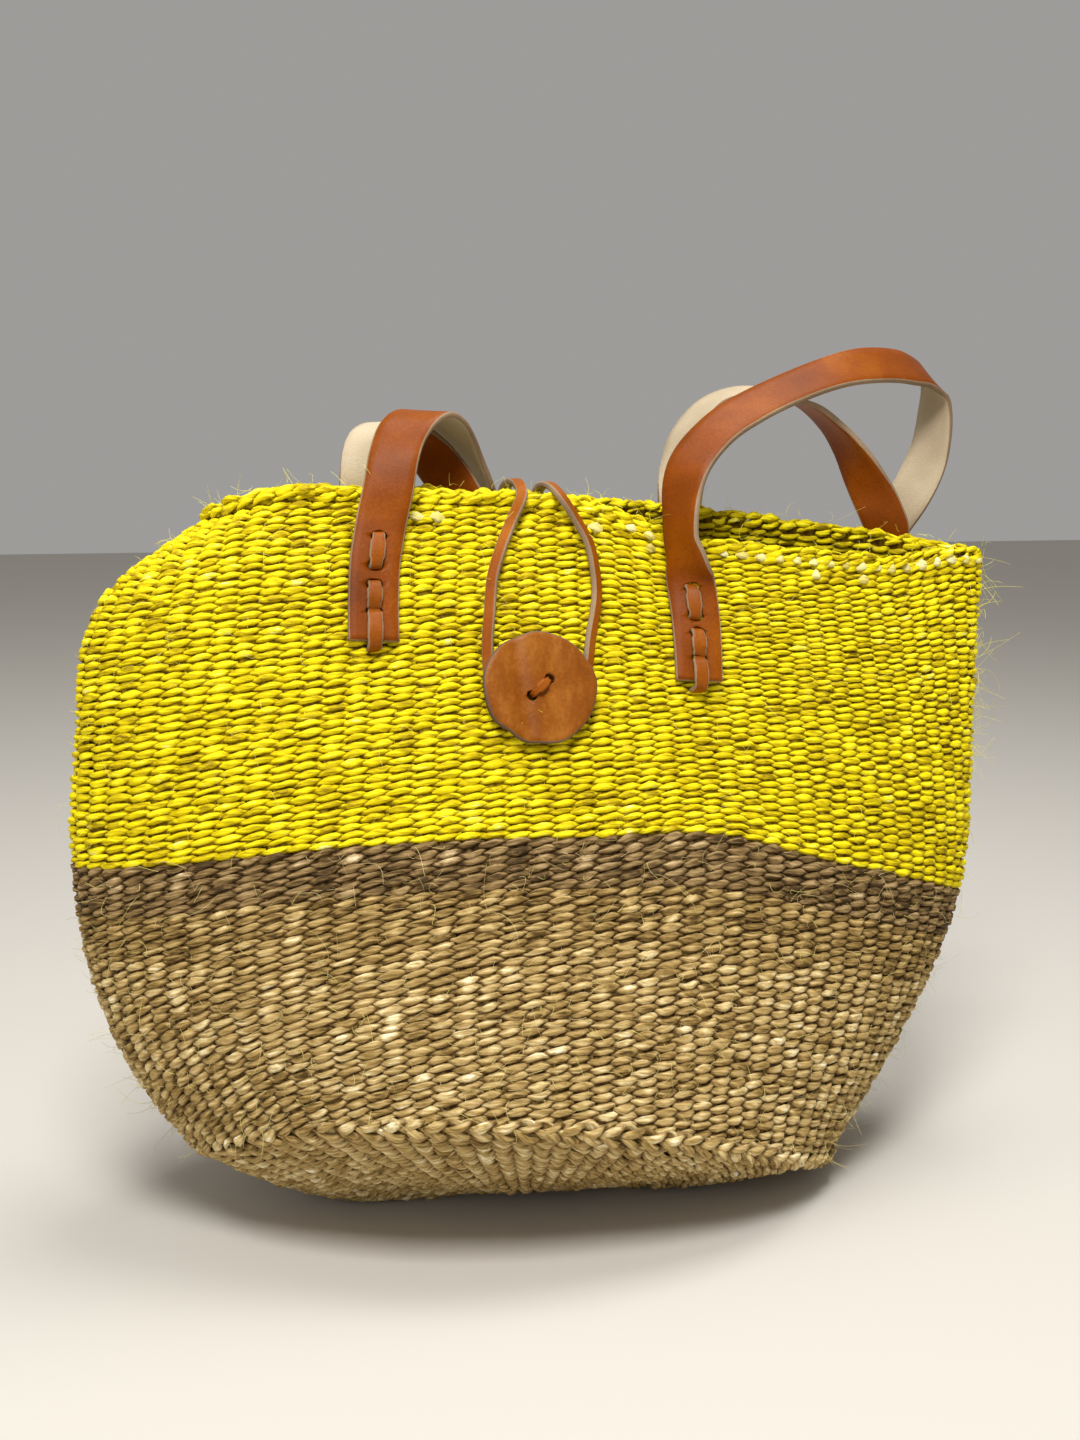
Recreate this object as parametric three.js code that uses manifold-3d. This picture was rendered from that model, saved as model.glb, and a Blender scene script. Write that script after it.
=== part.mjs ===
import * as THREE from 'three';
import { mergeVertices } from 'three/addons/utils/BufferGeometryUtils.js';
import Module from 'manifold-3d';

const wasm = await Module();
wasm.setup();

// Basket body, millimetres. X runs right, -Y is the front, Z is up, the table is at zero.
const mouthWidth = 400;
const bagHeight = 294;
const wallThickness = 5;
const seatGap = 0.3;
const cordRadius = 3.8;
const cordInset = 0.2;
const cordClearance = 4.5;
const rimHeight = 5.6;
const rimOverhang = 0.8;
const rimRounding = 1.2;
const turnRadius = 24;
const mouthBulge = 9;
const rimSag = 13;
const bandRise = 5;
const leftDip = 24;
const rightLift = 5;
const cornerDrop = 7;

// Leather pieces.
const strapWidth = 20;
const strapThickness = 2.5;
const twistAllowance = 3;
const strapSeat = 0.5;
const laceWidth = 6;
const laceThickness = 1.8;
const laceBend = 1.6;
const laceClearance = 0.9;
const laceTail = 6;
const dipHeight = 6.5;
const holeAllowance = 0.4;
const holeDepth = 16;
const thongWidth = 4.5;
const thongThickness = 2.3;
const thongBend = 3.2;
const anchorHoleHeight = 7.5;
const knotWidth = 13;
const knotHeight = 9;
const knotDepth = 6;
const buttonRadius = 23.5;
const buttonThickness = 3;
const buttonLift = 4.6;
const buttonLaceWidth = 4;
const buttonLaceThickness = 1.6;
const buttonLaceSpan = 10;
const stemRadius = 2.6;
const buttonKnotRadius = 6;
const cutGap = 0.3;
const cutReach = 900;
const tinyLength = 0.0005;

// Counts and angles.
const columns = 56;
const arcSamples = 720;
const discSides = 40;
const frontMeeting = 16;
const backMeeting = 14;
const stemSides = 12;
const foldAngle = THREE.MathUtils.degToRad(92);
const laceSlant = THREE.MathUtils.degToRad(42);

// Shape tables along the wall, from the base ridge (0) to the rim (1).
const stationShares = [0, 0.2, 0.43, 0.7, 1];
const rightEndShares = [0.316, 0.4135, 0.498, 0.5125, 0.52];
const leftEndShares = [-0.3875, -0.47, -0.4975, -0.485, -0.475];
const depthShares = [0.27, 0.225, 0.16, 0.09, 0.02];
const heightShares = [0.1956, 0.3537, 0.5544, 0.7789, 1];
const tiltShares = [0.0952, 0.0782, 0.0646, 0.0544, 0.0476];
const dropShares = [0.102, 0.1122, 0.102, 0.0612, 0.034];
const roundShares = [2.3, 2.3, 2.5, 3, 3.6];
const lowerWallShares = [0.021, 0.08, 0.15, 0.24, 0.3475];
const darkBandShares = [0.349, 0.39, 0.4294];
const upperWallShares = [0.4306, 0.5, 0.58, 0.66, 0.74, 0.82, 0.9, 0.9755];
const rimSeatShare = 0.9772;
const baseFlatShare = 0.12;
const baseRingShares = [0, baseFlatShare, 0.3, 0.45, 0.6, 0.75, 0.88];
const baseCentreShare = -0.02;
const baseReachShare = 0.365;

// Middle lines of the handles (across, depth, height), then the direction across the strap.
const frontHandleShares = [
  [-0.192, -0.0402, 0.978, 0.99, -0.15, 0.00],
  [-0.184, -0.0345, 1.017, 0.98, -0.22, 0.00],
  [-0.1757, -0.0238, 1.0578, 0.96, -0.25, 0.05],
  [-0.1638, -0.01, 1.0884, 0.93, -0.33, -0.10],
  [-0.1462, 0.0063, 1.1082, 0.85, -0.50, -0.12],
  [-0.1237, 0.025, 1.115, 0.68, -0.73, -0.03],
  [-0.1037, 0.0437, 1.1054, 0.58, -0.81, 0.00],
  [-0.0862, 0.0612, 1.085, 0.48, -0.87, -0.05],
  [-0.0688, 0.0737, 1.0561, 0.30, -0.94, -0.14],
  [-0.0537, 0.0813, 1.0204, 0.20, -0.97, -0.10],
  [-0.0425, 0.1, 0.983, 0.35, -0.93, 0.00],
  [-0.03, 0.125, 0.9388, 0.45, -0.89, 0.00],
  [-0.0075, 0.1425, 0.8912, 0.30, -0.95, 0.00],
  [0.035, 0.15, 0.8401, 0.10, -0.99, 0.00],
  [0.1025, 0.1487, 0.7959, 0.00, -1.00, 0.00],
  [0.19, 0.1525, 0.7721, 0.00, -1.00, 0.00],
  [0.28, 0.1562, 0.7721, 0.00, -1.00, 0.00],
  [0.3525, 0.1462, 0.7993, 0.05, -0.99, 0.00],
  [0.405, 0.1288, 0.8469, 0.25, -0.95, -0.15],
  [0.4338, 0.1075, 0.9014, 0.40, -0.85, -0.30],
  [0.45, 0.0862, 0.9558, 0.53, -0.70, -0.46],
  [0.4658, 0.0775, 0.9936, 0.53, -0.71, -0.46],
  [0.4865, 0.0825, 1.0381, 0.53, -0.75, -0.40],
  [0.4973, 0.085, 1.0766, 0.40, -0.89, -0.24],
  [0.5025, 0.0875, 1.1259, 0.28, -0.95, -0.14],
  [0.499, 0.085, 1.1599, 0.05, -0.97, -0.22],
  [0.4825, 0.0762, 1.182, -0.30, -0.88, -0.36],
  [0.4477, 0.065, 1.1948, -0.38, -0.72, -0.58],
  [0.3922, 0.0475, 1.1959, -0.30, -0.70, -0.65],
  [0.3355, 0.03, 1.1823, -0.14, -0.79, -0.59],
  [0.273, 0.015, 1.1554, -0.06, -0.83, -0.55],
  [0.2223, 0.0025, 1.1275, 0.08, -0.84, -0.53],
  [0.1825, -0.0125, 1.0993, 0.30, -0.85, -0.43],
  [0.1492, -0.0262, 1.0619, 0.50, -0.82, -0.28],
  [0.1305, -0.0425, 1.0288, 0.50, -0.86, -0.10],
  [0.1195, -0.0588, 0.983, 0.32, -0.95, 0.00],
  [0.117, -0.0668, 0.9438, 0.30, -0.95, 0.00],
  [0.1215, -0.072, 0.9133, 0.55, -0.83, 0.00],
];
const backHandleShares = [
  [-0.1933, 0.0315, 1.0204, 1.00, -0.05, 0.00],
  [-0.1888, 0.0362, 1.0578, 0.95, -0.30, 0.00],
  [-0.1787, 0.0475, 1.0861, 0.83, -0.55, 0.05],
  [-0.162, 0.0612, 1.0997, 0.70, -0.70, 0.05],
  [-0.1388, 0.0737, 1.0918, 0.72, -0.68, 0.00],
  [-0.115, 0.0788, 1.0646, 0.84, -0.54, 0.00],
  [-0.0945, 0.0775, 1.0306, 0.90, -0.43, 0.00],
  [-0.0783, 0.0737, 0.9966, 0.88, -0.47, 0.00],
  [-0.0612, 0.075, 0.9592, 0.80, -0.60, 0.00],
  [-0.0338, 0.0787, 0.9252, 0.75, -0.66, 0.00],
  [0.005, 0.0862, 0.903, 0.58, -0.81, 0.00],
  [0.0525, 0.0925, 0.886, 0.25, -0.97, 0.00],
  [0.115, 0.1062, 0.8741, 0.00, -1.00, 0.00],
  [0.2, 0.1087, 0.8707, 0.00, -1.00, 0.00],
  [0.2875, 0.0988, 0.8707, 0.00, -1.00, 0.00],
  [0.355, 0.0815, 0.8759, 0.15, -0.98, 0.00],
  [0.3975, 0.0675, 0.8912, 0.50, -0.86, 0.00],
  [0.4175, 0.0563, 0.915, 0.75, -0.66, 0.00],
  [0.4233, 0.0488, 0.9405, 0.85, -0.52, 0.00],
  [0.4148, 0.05, 0.9728, 0.85, -0.52, 0.02],
  [0.3972, 0.0575, 1.0218, 0.62, -0.78, 0.00],
  [0.3787, 0.065, 1.068, 0.30, -0.95, -0.03],
  [0.3605, 0.07, 1.1007, 0.12, -0.99, -0.05],
  [0.3325, 0.0725, 1.1316, 0.01, -1.00, -0.05],
  [0.2953, 0.0725, 1.1493, -0.04, -0.98, -0.17],
  [0.2485, 0.0688, 1.1527, -0.06, -0.98, -0.17],
  [0.2023, 0.0612, 1.1337, 0.10, -0.99, -0.05],
  [0.1762, 0.055, 1.0918, 0.40, -0.91, 0.05],
  [0.1673, 0.05, 1.0442, 0.72, -0.69, 0.03],
  [0.164, 0.0475, 0.9932, 1.00, -0.06, 0.00],
];

// Strap tails that lie on the wall: place across, height, and twist of the strap in degrees.
const frontLeftTailShares = [
  [-0.2115, 0.815, 0],
  [-0.2085, 0.862, 0],
  [-0.203, 0.916, 2],
  [-0.1955, 0.956, 5],
];
const frontRightTailShares = [
  [0.1245, 0.7463, 6],
  [0.1275, 0.7873, 10],
  [0.129, 0.8305, 16],
  [0.1275, 0.874, 25],
];
const backLeftTailShares = [
  [-0.2035, 0.8, 0],
  [-0.2, 0.858, 0],
  [-0.1965, 0.915, 0],
  [-0.1945, 0.968, 0],
];
const backRightTailShares = [
  [0.152, 0.775, 0],
  [0.156, 0.83, 0],
  [0.1595, 0.88, 0],
  [0.1625, 0.935, 0],
];

// Lace crossings, as shares of the bag height, from the top one down.
const frontLeftLaceShares = [0.951, 0.913, 0.8885, 0.855, 0.807];
const frontRightLaceShares = [0.876, 0.8375, 0.815, 0.7805, 0.7385];
const backLeftLaceShares = [0.949, 0.911, 0.8865, 0.848, 0.792];
const backRightLaceShares = [0.918, 0.88, 0.8555, 0.822, 0.767];

// Hinge lines of the two handles: across and depth by the mouth width, height by the bag's.
const frontHingeShares = [[-0.1425, 0.00875, 1.10986], [0.18, -0.01325, 1.09762]];
const backHingeShares = [[-0.1575, 0.06375, 1.09966], [0.195, 0.06, 1.12585]];

// Closing loop: legs on the front wall and the back wall (across, height), then over the rim
// (across, depth, height and backward lean of the outer face), all as shares.
const loopLeftShares = [
  [-0.0585, 0.965],
  [-0.0728, 0.93],
  [-0.0848, 0.893],
  [-0.0922, 0.848],
  [-0.0985, 0.8],
  [-0.0985, 0.752],
];
const loopRightShares = [
  [0.0135, 0.965],
  [0.023, 0.935],
  [0.0255, 0.9],
  [0.0235, 0.862],
  [0.0125, 0.812],
  [0.002, 0.76],
];
const loopBottomShares = [
  [-0.09, 0.714],
  [-0.07, 0.695],
  [-0.035, 0.695],
  [-0.013, 0.716],
];
const loopOverLeftShares = [
  [-0.0425, 0.0315, 1.0115, 0.7],
  [-0.0425, 0.0175, 1.0205, 0.2],
  [-0.0425, -0.0125, 1.0205, -0.1],
  [-0.0448, -0.0335, 1.005, -1.2],
];
const loopOverRightShares = [
  [-0.006, 0.0315, 1.0075, 0.7],
  [-0.006, 0.0175, 1.0165, 0.2],
  [-0.0055, -0.0125, 1.016, -0.1],
  [-0.001, -0.0345, 1.0, -1.2],
];
const anchorLeftShares = [[-0.0425, 0.0345, 1.0075, 1], [-0.0355, 0.965], [-0.03, 0.925]];
const anchorRightShares = [[-0.006, 0.0345, 1.0035, 1], [-0.0135, 0.965], [-0.018, 0.925]];
const anchorShares = [-0.024, 0.89];
const buttonShares = [-0.051, 0.746];

const colours = {
  straw: [0xb98a3e, 0.85],
  cord: [0x8f6a35, 0.85],
  umber: [0x5a4327, 0.88],
  yellow: [0xdcc41c, 0.8],
  leather: [0xb5621f, 0.5],
  thong: [0xa8552a, 0.55],
  disc: [0x9a5a2b, 0.45],
};

function smoothAt(shares, v) {
  const last = stationShares.length - 1;
  const slope = (k) => {
    const low = Math.max(k - 1, 0);
    const high = Math.min(k + 1, last);
    return (shares[high] - shares[low]) / (stationShares[high] - stationShares[low]);
  };
  let i = 0;
  while (i < last - 1 && v >= stationShares[i + 1]) i += 1;
  const span = stationShares[i + 1] - stationShares[i];
  const t = (v - stationShares[i]) / span;
  const rise = 3 * t ** 2 - 2 * t ** 3;
  const start = (1 - rise) * shares[i] + (t ** 3 - 2 * t ** 2 + t) * span * slope(i);
  return start + rise * shares[i + 1] + (t ** 3 - t ** 2) * span * slope(i + 1);
}

function easeBetween(low, high, x) {
  const t = Math.min(Math.max((x - low) / (high - low), 0), 1);
  return t * t * (3 - 2 * t);
}

// A point of the wall: reach -1 to 1 across the bag, side -1 front or 1 back, inset inward.
function wallPoint(reach, v, side, inset) {
  const right = smoothAt(rightEndShares, v) * mouthWidth - inset;
  const left = smoothAt(leftEndShares, v) * mouthWidth + inset;
  const x = (right + left) / 2 + (right - left) / 2 * reach;
  const share = x / mouthWidth;
  const fullness = Math.sqrt(Math.max(1 - Math.abs(reach) ** smoothAt(roundShares, v), 0));
  const opening = easeBetween(0.55, 1, v) * Math.exp(-(((share - 0.2625) / 0.1375) ** 2));
  const y = side * (smoothAt(depthShares, v) * mouthWidth + mouthBulge * opening - inset) * fullness;
  const slack = easeBetween(0.0125, 0.155, share) * (1 - easeBetween(0.375, 0.5225, share));
  const sag = side < 0 ? rimSag * easeBetween(0.6, 1, v) * slack * fullness : 0;
  const swell = Math.exp(-(((share - 0.125) / 0.095) ** 2) - ((v - 0.43) / 0.12) ** 2);
  const rise = side < 0 ? bandRise * swell : 0;
  const endLift = reach < 0 ? -leftDip : rightLift;
  const endShift = endLift * Math.abs(reach) ** 8 * (1 - easeBetween(0, 0.3, v));
  const tilt = smoothAt(tiltShares, v) * reach;
  const drop = smoothAt(dropShares, v) * reach ** 2;
  const level = smoothAt(heightShares, v) - tilt - drop;
  const z = level * bagHeight - sag + rise + endShift;
  return turnBack(x, y, z, v);
}

// Near the rim the left end of the bag turns back round an upright line.
function turnBack(x, y, z, v) {
  const onset = Math.min(Math.max((v - 0.45) / 0.55, 0), 1) ** 1.7;
  const line = (0.255 * onset - 0.51) * mouthWidth;
  const beyond = Math.max(line - x, 0);
  if (beyond === 0) return new THREE.Vector3(x, y, z);
  const angle = Math.min(beyond / turnRadius, foldAngle);
  const rest = beyond - angle * turnRadius;
  const turnedX = line - turnRadius * Math.sin(angle) - rest * Math.cos(angle) + y * Math.sin(angle);
  const turnedY = turnRadius * (1 - Math.cos(angle)) + rest * Math.sin(angle) + y * Math.cos(angle);
  const drop = cornerDrop * easeBetween(0.2, 1.4, beyond / turnRadius) * easeBetween(0.8, 1, v);
  return new THREE.Vector3(turnedX, turnedY, z - 0.12 * beyond - drop);
}

function shellPoint(phase, v, inset) {
  const c = Math.cos(phase);
  const reach = Math.sign(c) * Math.abs(c) ** 0.8;
  return wallPoint(reach, v, Math.sin(phase) >= 0 ? -1 : 1, inset);
}

// Evenly spaced phases round one level, so that every column follows one upright of the weave.
const phaseStore = new Map();
function evenPhases(v) {
  if (phaseStore.has(v)) return phaseStore.get(v);
  const lengths = [0];
  let before = shellPoint(0, v, 0);
  for (let i = 1; i <= arcSamples; i += 1) {
    const point = shellPoint((i / arcSamples) * 2 * Math.PI, v, 0);
    lengths.push(lengths[i - 1] + point.distanceTo(before));
    before = point;
  }
  const phases = [];
  let i = 0;
  for (let k = 0; k < columns; k += 1) {
    const target = (k / columns) * lengths[arcSamples];
    while (lengths[i + 1] < target) i += 1;
    const part = (target - lengths[i]) / (lengths[i + 1] - lengths[i]);
    phases.push(((i + part) / arcSamples) * 2 * Math.PI);
  }
  phaseStore.set(v, phases);
  return phases;
}

function ring(v, inset) {
  return evenPhases(v).map((phase) => shellPoint(phase, v, inset));
}

// Solid through a row of closed sections; the row itself is closed or capped at both ends.
function solidThrough(sections, isClosed) {
  const count = sections[0].length;
  const points = [];
  const keys = new Map();
  const indexOf = (p) => {
    const key = [p.x, p.y, p.z].map((value) => Math.round(value / tinyLength)).join('|');
    if (!keys.has(key)) {
      keys.set(key, points.length);
      points.push(p);
    }
    return keys.get(key);
  };
  const grid = sections.map((section) => section.map(indexOf));
  const faces = [];
  const addFace = (a, b, c) => {
    if (a !== b && b !== c && c !== a) faces.push([a, b, c]);
  };
  const rows = isClosed ? grid.length : grid.length - 1;
  for (let i = 0; i < rows; i += 1) {
    const near = grid[i];
    const far = grid[(i + 1) % grid.length];
    for (let j = 0; j < count; j += 1) {
      const next = (j + 1) % count;
      addFace(near[j], far[j], far[next]);
      addFace(near[j], far[next], near[next]);
    }
  }
  if (!isClosed) {
    const last = grid[grid.length - 1];
    for (let j = 1; j < count - 1; j += 1) {
      addFace(grid[0][0], grid[0][j], grid[0][j + 1]);
      addFace(last[0], last[j + 1], last[j]);
    }
  }
  return geometryFrom(points, faces);
}

function geometryFrom(points, faces) {
  let volume = 0;
  faces.forEach(([a, b, c]) => {
    volume += points[a].dot(new THREE.Vector3().crossVectors(points[b], points[c]));
  });
  const ordered = volume < 0 ? faces.map(([a, b, c]) => [a, c, b]) : faces;
  const geometry = new THREE.BufferGeometry();
  const positions = points.flatMap((point) => point.toArray());
  geometry.setAttribute('position', new THREE.Float32BufferAttribute(positions, 3));
  geometry.setIndex(ordered.flat());
  return geometry;
}

function toManifold(geometry) {
  const bare = geometry.clone();
  bare.deleteAttribute('normal');
  bare.deleteAttribute('uv');
  const merged = mergeVertices(bare, tinyLength);
  return new wasm.Manifold(new wasm.Mesh({
    numProp: 3,
    vertProperties: new Float32Array(merged.attributes.position.array),
    triVerts: new Uint32Array(merged.index.array),
  }));
}

function fromManifold(manifold) {
  const mesh = manifold.getMesh();
  const geometry = new THREE.BufferGeometry();
  const positions = [];
  for (let i = 0; i < mesh.vertProperties.length; i += mesh.numProp) {
    positions.push(mesh.vertProperties[i], mesh.vertProperties[i + 1], mesh.vertProperties[i + 2]);
  }
  geometry.setAttribute('position', new THREE.Float32BufferAttribute(positions, 3));
  geometry.setIndex(Array.from(mesh.triVerts));
  return geometry;
}

function joined(geometries) {
  return fromManifold(geometries.map(toManifold).reduce((sum, item) => sum.add(item)));
}

function cutBy(geometry, tools) {
  const whole = toManifold(geometry);
  return fromManifold(tools.map(toManifold).reduce((rest, tool) => rest.subtract(tool), whole));
}

// Woven base: a disc resting flat in the middle and bent up towards its edge.
function basePoint(share, phase) {
  const edge = shellPoint(phase, 0, 0);
  const centre = baseCentreShare * mouthWidth;
  const reach = Math.min(Math.max((edge.x - centre) / (baseReachShare * mouthWidth), -1), 1);
  const flat = baseFlatShare + 0.27 * easeBetween(0.4, 0.72, reach) + 0.375 * Math.abs(reach) ** 9;
  const climb = (Math.max(share - flat, 0) / (1 - flat)) ** 1.65;
  return new THREE.Vector3(centre + (edge.x - centre) * share, edge.y * share, edge.z * climb);
}

function baseNormal(share, phase) {
  if (share === 0) return new THREE.Vector3(0, 0, 1);
  const outward = basePoint(share + 0.01, phase).sub(basePoint(share - 0.01, phase));
  const around = basePoint(share, phase + 0.01).sub(basePoint(share, phase - 0.01));
  const normal = outward.cross(around).normalize();
  return normal.z < 0 ? normal.negate() : normal;
}

function baseEdgeShare(phase) {
  const edge = basePoint(1, phase);
  let share = 1;
  while (basePoint(share, phase).distanceTo(edge) < cordClearance) share -= 0.002;
  return share;
}

function baseDisc() {
  const sections = evenPhases(0).map((phase) => {
    const shares = [...baseRingShares, baseEdgeShare(phase)];
    const below = shares.map((share) => basePoint(share, phase));
    const above = shares.map((share) => (
      basePoint(share, phase).addScaledVector(baseNormal(share, phase), wallThickness)
    ));
    return [...below, ...above.reverse()];
  });
  return solidThrough(sections, true);
}

// Cord along the ridge where the base turns up into the wall.
function baseRidge() {
  const lifted = ring(lowerWallShares[0], 0);
  const sections = evenPhases(0).map((phase, k) => {
    const corner = basePoint(1, phase);
    const upward = lifted[k].clone().sub(corner).normalize();
    const inward = basePoint(baseEdgeShare(phase), phase).sub(corner).normalize();
    const inset = upward.clone().add(inward).normalize();
    const across = upward.clone().addScaledVector(inset, -upward.dot(inset)).normalize();
    const centre = corner.clone().addScaledVector(inset, cordInset);
    centre.z = Math.max(centre.z, cordRadius);
    return [0, 1, 2, 3, 4, 5, 6, 7].map((side) => {
      const angle = (side / 8) * 2 * Math.PI;
      const point = centre.clone().addScaledVector(inset, Math.cos(angle) * cordRadius);
      return point.addScaledVector(across, Math.sin(angle) * cordRadius);
    });
  });
  return solidThrough(sections, true);
}

function wallBand(shares) {
  const outer = shares.map((v) => ring(v, 0));
  const inner = shares.map((v) => ring(v, wallThickness));
  const sections = outer[0].map((point, k) => [
    ...outer.map((points) => points[k]),
    ...inner.map((points) => points[k]).reverse(),
  ]);
  return solidThrough(sections, true);
}

// Braid that finishes the rim, seated on the top of the wall.
function rimBraid() {
  const outer = ring(rimSeatShare, 0);
  const inner = ring(rimSeatShare, wallThickness);
  const sections = outer.map((point, k) => {
    const outward = point.clone().sub(inner[k]).setZ(0).normalize();
    const place = (base, out, up) => base.clone().addScaledVector(outward, out).setZ(base.z + up);
    return [
      place(point, rimOverhang - rimRounding, 0),
      place(point, rimOverhang, rimHeight / 2),
      place(point, rimOverhang - rimRounding, rimHeight),
      place(inner[k], rimRounding - rimOverhang, rimHeight),
      place(inner[k], -rimOverhang, rimHeight / 2),
      place(inner[k], rimRounding - rimOverhang, 0),
    ];
  });
  return solidThrough(sections, true);
}

// Place on the wall face at a given distance across and height, with its own directions.
function wallPlace(x, z, side) {
  const at = (acrossX, v) => {
    const right = smoothAt(rightEndShares, v) * mouthWidth;
    const left = smoothAt(leftEndShares, v) * mouthWidth;
    return wallPoint((acrossX - (right + left) / 2) / ((right - left) / 2), v, side, 0);
  };
  let low = 0.2;
  let high = 1;
  for (let i = 0; i < 40; i += 1) {
    const middle = (low + high) / 2;
    if (at(x, middle).z < z) low = middle;
    else high = middle;
  }
  const v = Math.min(low, 0.995);
  const point = at(x, low);
  const right = at(x + strapWidth / 2, v).sub(at(x - strapWidth / 2, v)).normalize();
  const rough = at(x, v + 0.005).sub(at(x, v - 0.005)).normalize();
  const out = new THREE.Vector3().crossVectors(right, rough).multiplyScalar(-side).normalize();
  const up = new THREE.Vector3().crossVectors(out, right).multiplyScalar(-side).normalize();
  return { point, right, up, out };
}

function smoothCurve(values) {
  return new THREE.CatmullRomCurve3(values, false, 'centripetal');
}

function smoothRow(values, steps) {
  const curve = smoothCurve(values);
  return Array.from({ length: steps + 1 }, (unused, i) => curve.getPoint(i / steps));
}

// Flat ribbon along a line of places, each with the direction across it.
function ribbon(centres, acrosses, width, thickness) {
  const sections = centres.map((centre, i) => {
    const before = centres[Math.max(i - 1, 0)];
    const after = centres[Math.min(i + 1, centres.length - 1)];
    const along = after.clone().sub(before).normalize();
    const across = acrosses[i].clone().addScaledVector(along, -acrosses[i].dot(along)).normalize();
    const face = new THREE.Vector3().crossVectors(along, across);
    const edge = (a) => centre.clone().addScaledVector(across, (a * width) / 2);
    const corner = (a, b) => edge(a).addScaledVector(face, (b * thickness) / 2);
    return [corner(-1, -1), corner(1, -1), corner(1, 1), corner(-1, 1)];
  });
  return solidThrough(sections, false);
}

function ribbonAlong(line, width, thickness) {
  const centres = line.map((entry) => entry.centre);
  const acrosses = line.map((entry) => entry.across);
  return ribbon(centres, acrosses, width, thickness);
}

function atShares(x, y, z) {
  return new THREE.Vector3(x * mouthWidth, y * mouthWidth, z * bagHeight);
}

function tailStations(shares, side) {
  return shares.map(([x, height, twist]) => {
    const place = wallPlace(x * mouthWidth, height * bagHeight, side);
    const angle = THREE.MathUtils.degToRad(twist);
    const level = place.right.clone().multiplyScalar(Math.cos(angle));
    const across = level.addScaledVector(place.out, Math.sin(angle));
    const lift = strapSeat + strapThickness / 2 + Math.sin(angle) * (strapWidth / 2 + twistAllowance);
    const centre = place.point.clone().addScaledVector(place.out, lift);
    return { centre, across, out: across.clone().cross(place.up).multiplyScalar(-side) };
  });
}

function archStations(shares) {
  return shares.map(([x, y, z, acrossX, acrossY, acrossZ]) => ({
    centre: atShares(x, y, z),
    across: new THREE.Vector3(acrossX, acrossY, acrossZ).normalize(),
  }));
}

// Whole strap from tail to tail as two ribbons that meet low behind the bag.
function strapHalves(leftTail, arch, rightTail, side, meeting) {
  const stations = [
    ...tailStations(leftTail, side),
    ...archStations(arch),
    ...tailStations(rightTail, side).reverse(),
  ];
  const split = leftTail.length + meeting;
  const half = (row) => ribbon(
    smoothRow(row.map((station) => station.centre), 2 * (row.length - 1)),
    smoothRow(row.map((station) => station.across), 2 * (row.length - 1)),
    strapWidth,
    strapThickness,
  );
  return [half(stations.slice(0, split + 2)), half(stations.slice(split))];
}

// Very large block on one side of a plane that stands across the hinge line.
function halfSpace(origin, direction) {
  const block = new THREE.BoxGeometry(cutReach, cutReach, cutReach);
  block.translate(cutReach / 2, 0, 0);
  const turn = new THREE.Quaternion().setFromUnitVectors(new THREE.Vector3(1, 0, 0), direction);
  block.applyQuaternion(turn);
  block.translate(origin.x, origin.y, origin.z);
  return block;
}

function splitStrap(halves, hingeShares) {
  const [start, end] = hingeShares.map((shares) => atShares(...shares));
  const axis = end.clone().sub(start).normalize();
  const beyond = (origin) => halfSpace(origin.clone().addScaledVector(axis, -cutGap / 2), axis);
  const back = axis.clone().negate();
  const before = (origin) => halfSpace(origin.clone().addScaledVector(back, -cutGap / 2), back);
  return {
    left: cutBy(halves[0], [beyond(start)]),
    right: cutBy(halves[1], [beyond(end)]),
    handle: joined([cutBy(halves[0], [before(start)]), cutBy(halves[1], [before(end)])]),
  };
}

// Line through corner points with every inner corner rounded off.
function roundedLine(corners, bend) {
  const line = [corners[0]];
  for (let i = 1; i < corners.length - 1; i += 1) {
    const point = corners[i].centre;
    const reach = (other) => {
      const away = other.centre.clone().sub(point);
      const length = Math.min(bend, away.length() * 0.48);
      return point.clone().addScaledVector(away.normalize(), length);
    };
    const before = reach(corners[i - 1]);
    const after = reach(corners[i + 1]);
    const middle = before.clone().add(after).multiplyScalar(0.25).addScaledVector(point, 0.5);
    [before, middle, after].forEach((centre) => line.push({ centre, across: corners[i].across }));
  }
  line.push(corners[corners.length - 1]);
  return line;
}

// Place on a strap tail at a given height, with the matching place inside the wall.
function tailPlace({ tail, beyond, side }, height) {
  const stations = [...tailStations(tail, side), ...archStations(beyond)];
  const centres = smoothCurve(stations.map((station) => station.centre));
  const acrosses = smoothCurve(stations.map((station) => station.across));
  const z = height * bagHeight;
  let low = 0;
  let high = 1;
  for (let i = 0; i < 40; i += 1) {
    const middle = (low + high) / 2;
    if (centres.getPoint(middle).z < z) low = middle;
    else high = middle;
  }
  const along = centres.getTangent(low);
  const centre = centres.getPoint(low);
  centre.addScaledVector(along, (z - centre.z) / along.z);
  const across = acrosses.getPoint(low).normalize();
  const out = across.clone().cross(along).multiplyScalar(-side).normalize();
  const wall = wallPlace(centre.x, z, side);
  const outerGap = strapThickness / 2 + laceClearance + laceThickness / 2;
  const innerDepth = wallThickness + holeAllowance + laceThickness / 2;
  return {
    outer: { centre: centre.clone().addScaledVector(out, outerGap), across },
    dip: { centre: centre.clone().addScaledVector(out, laceThickness / 2), across },
    inner: {
      centre: wall.point.clone().addScaledVector(wall.out, -innerDepth),
      across: wall.right,
    },
    up: wall.up,
  };
}

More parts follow.
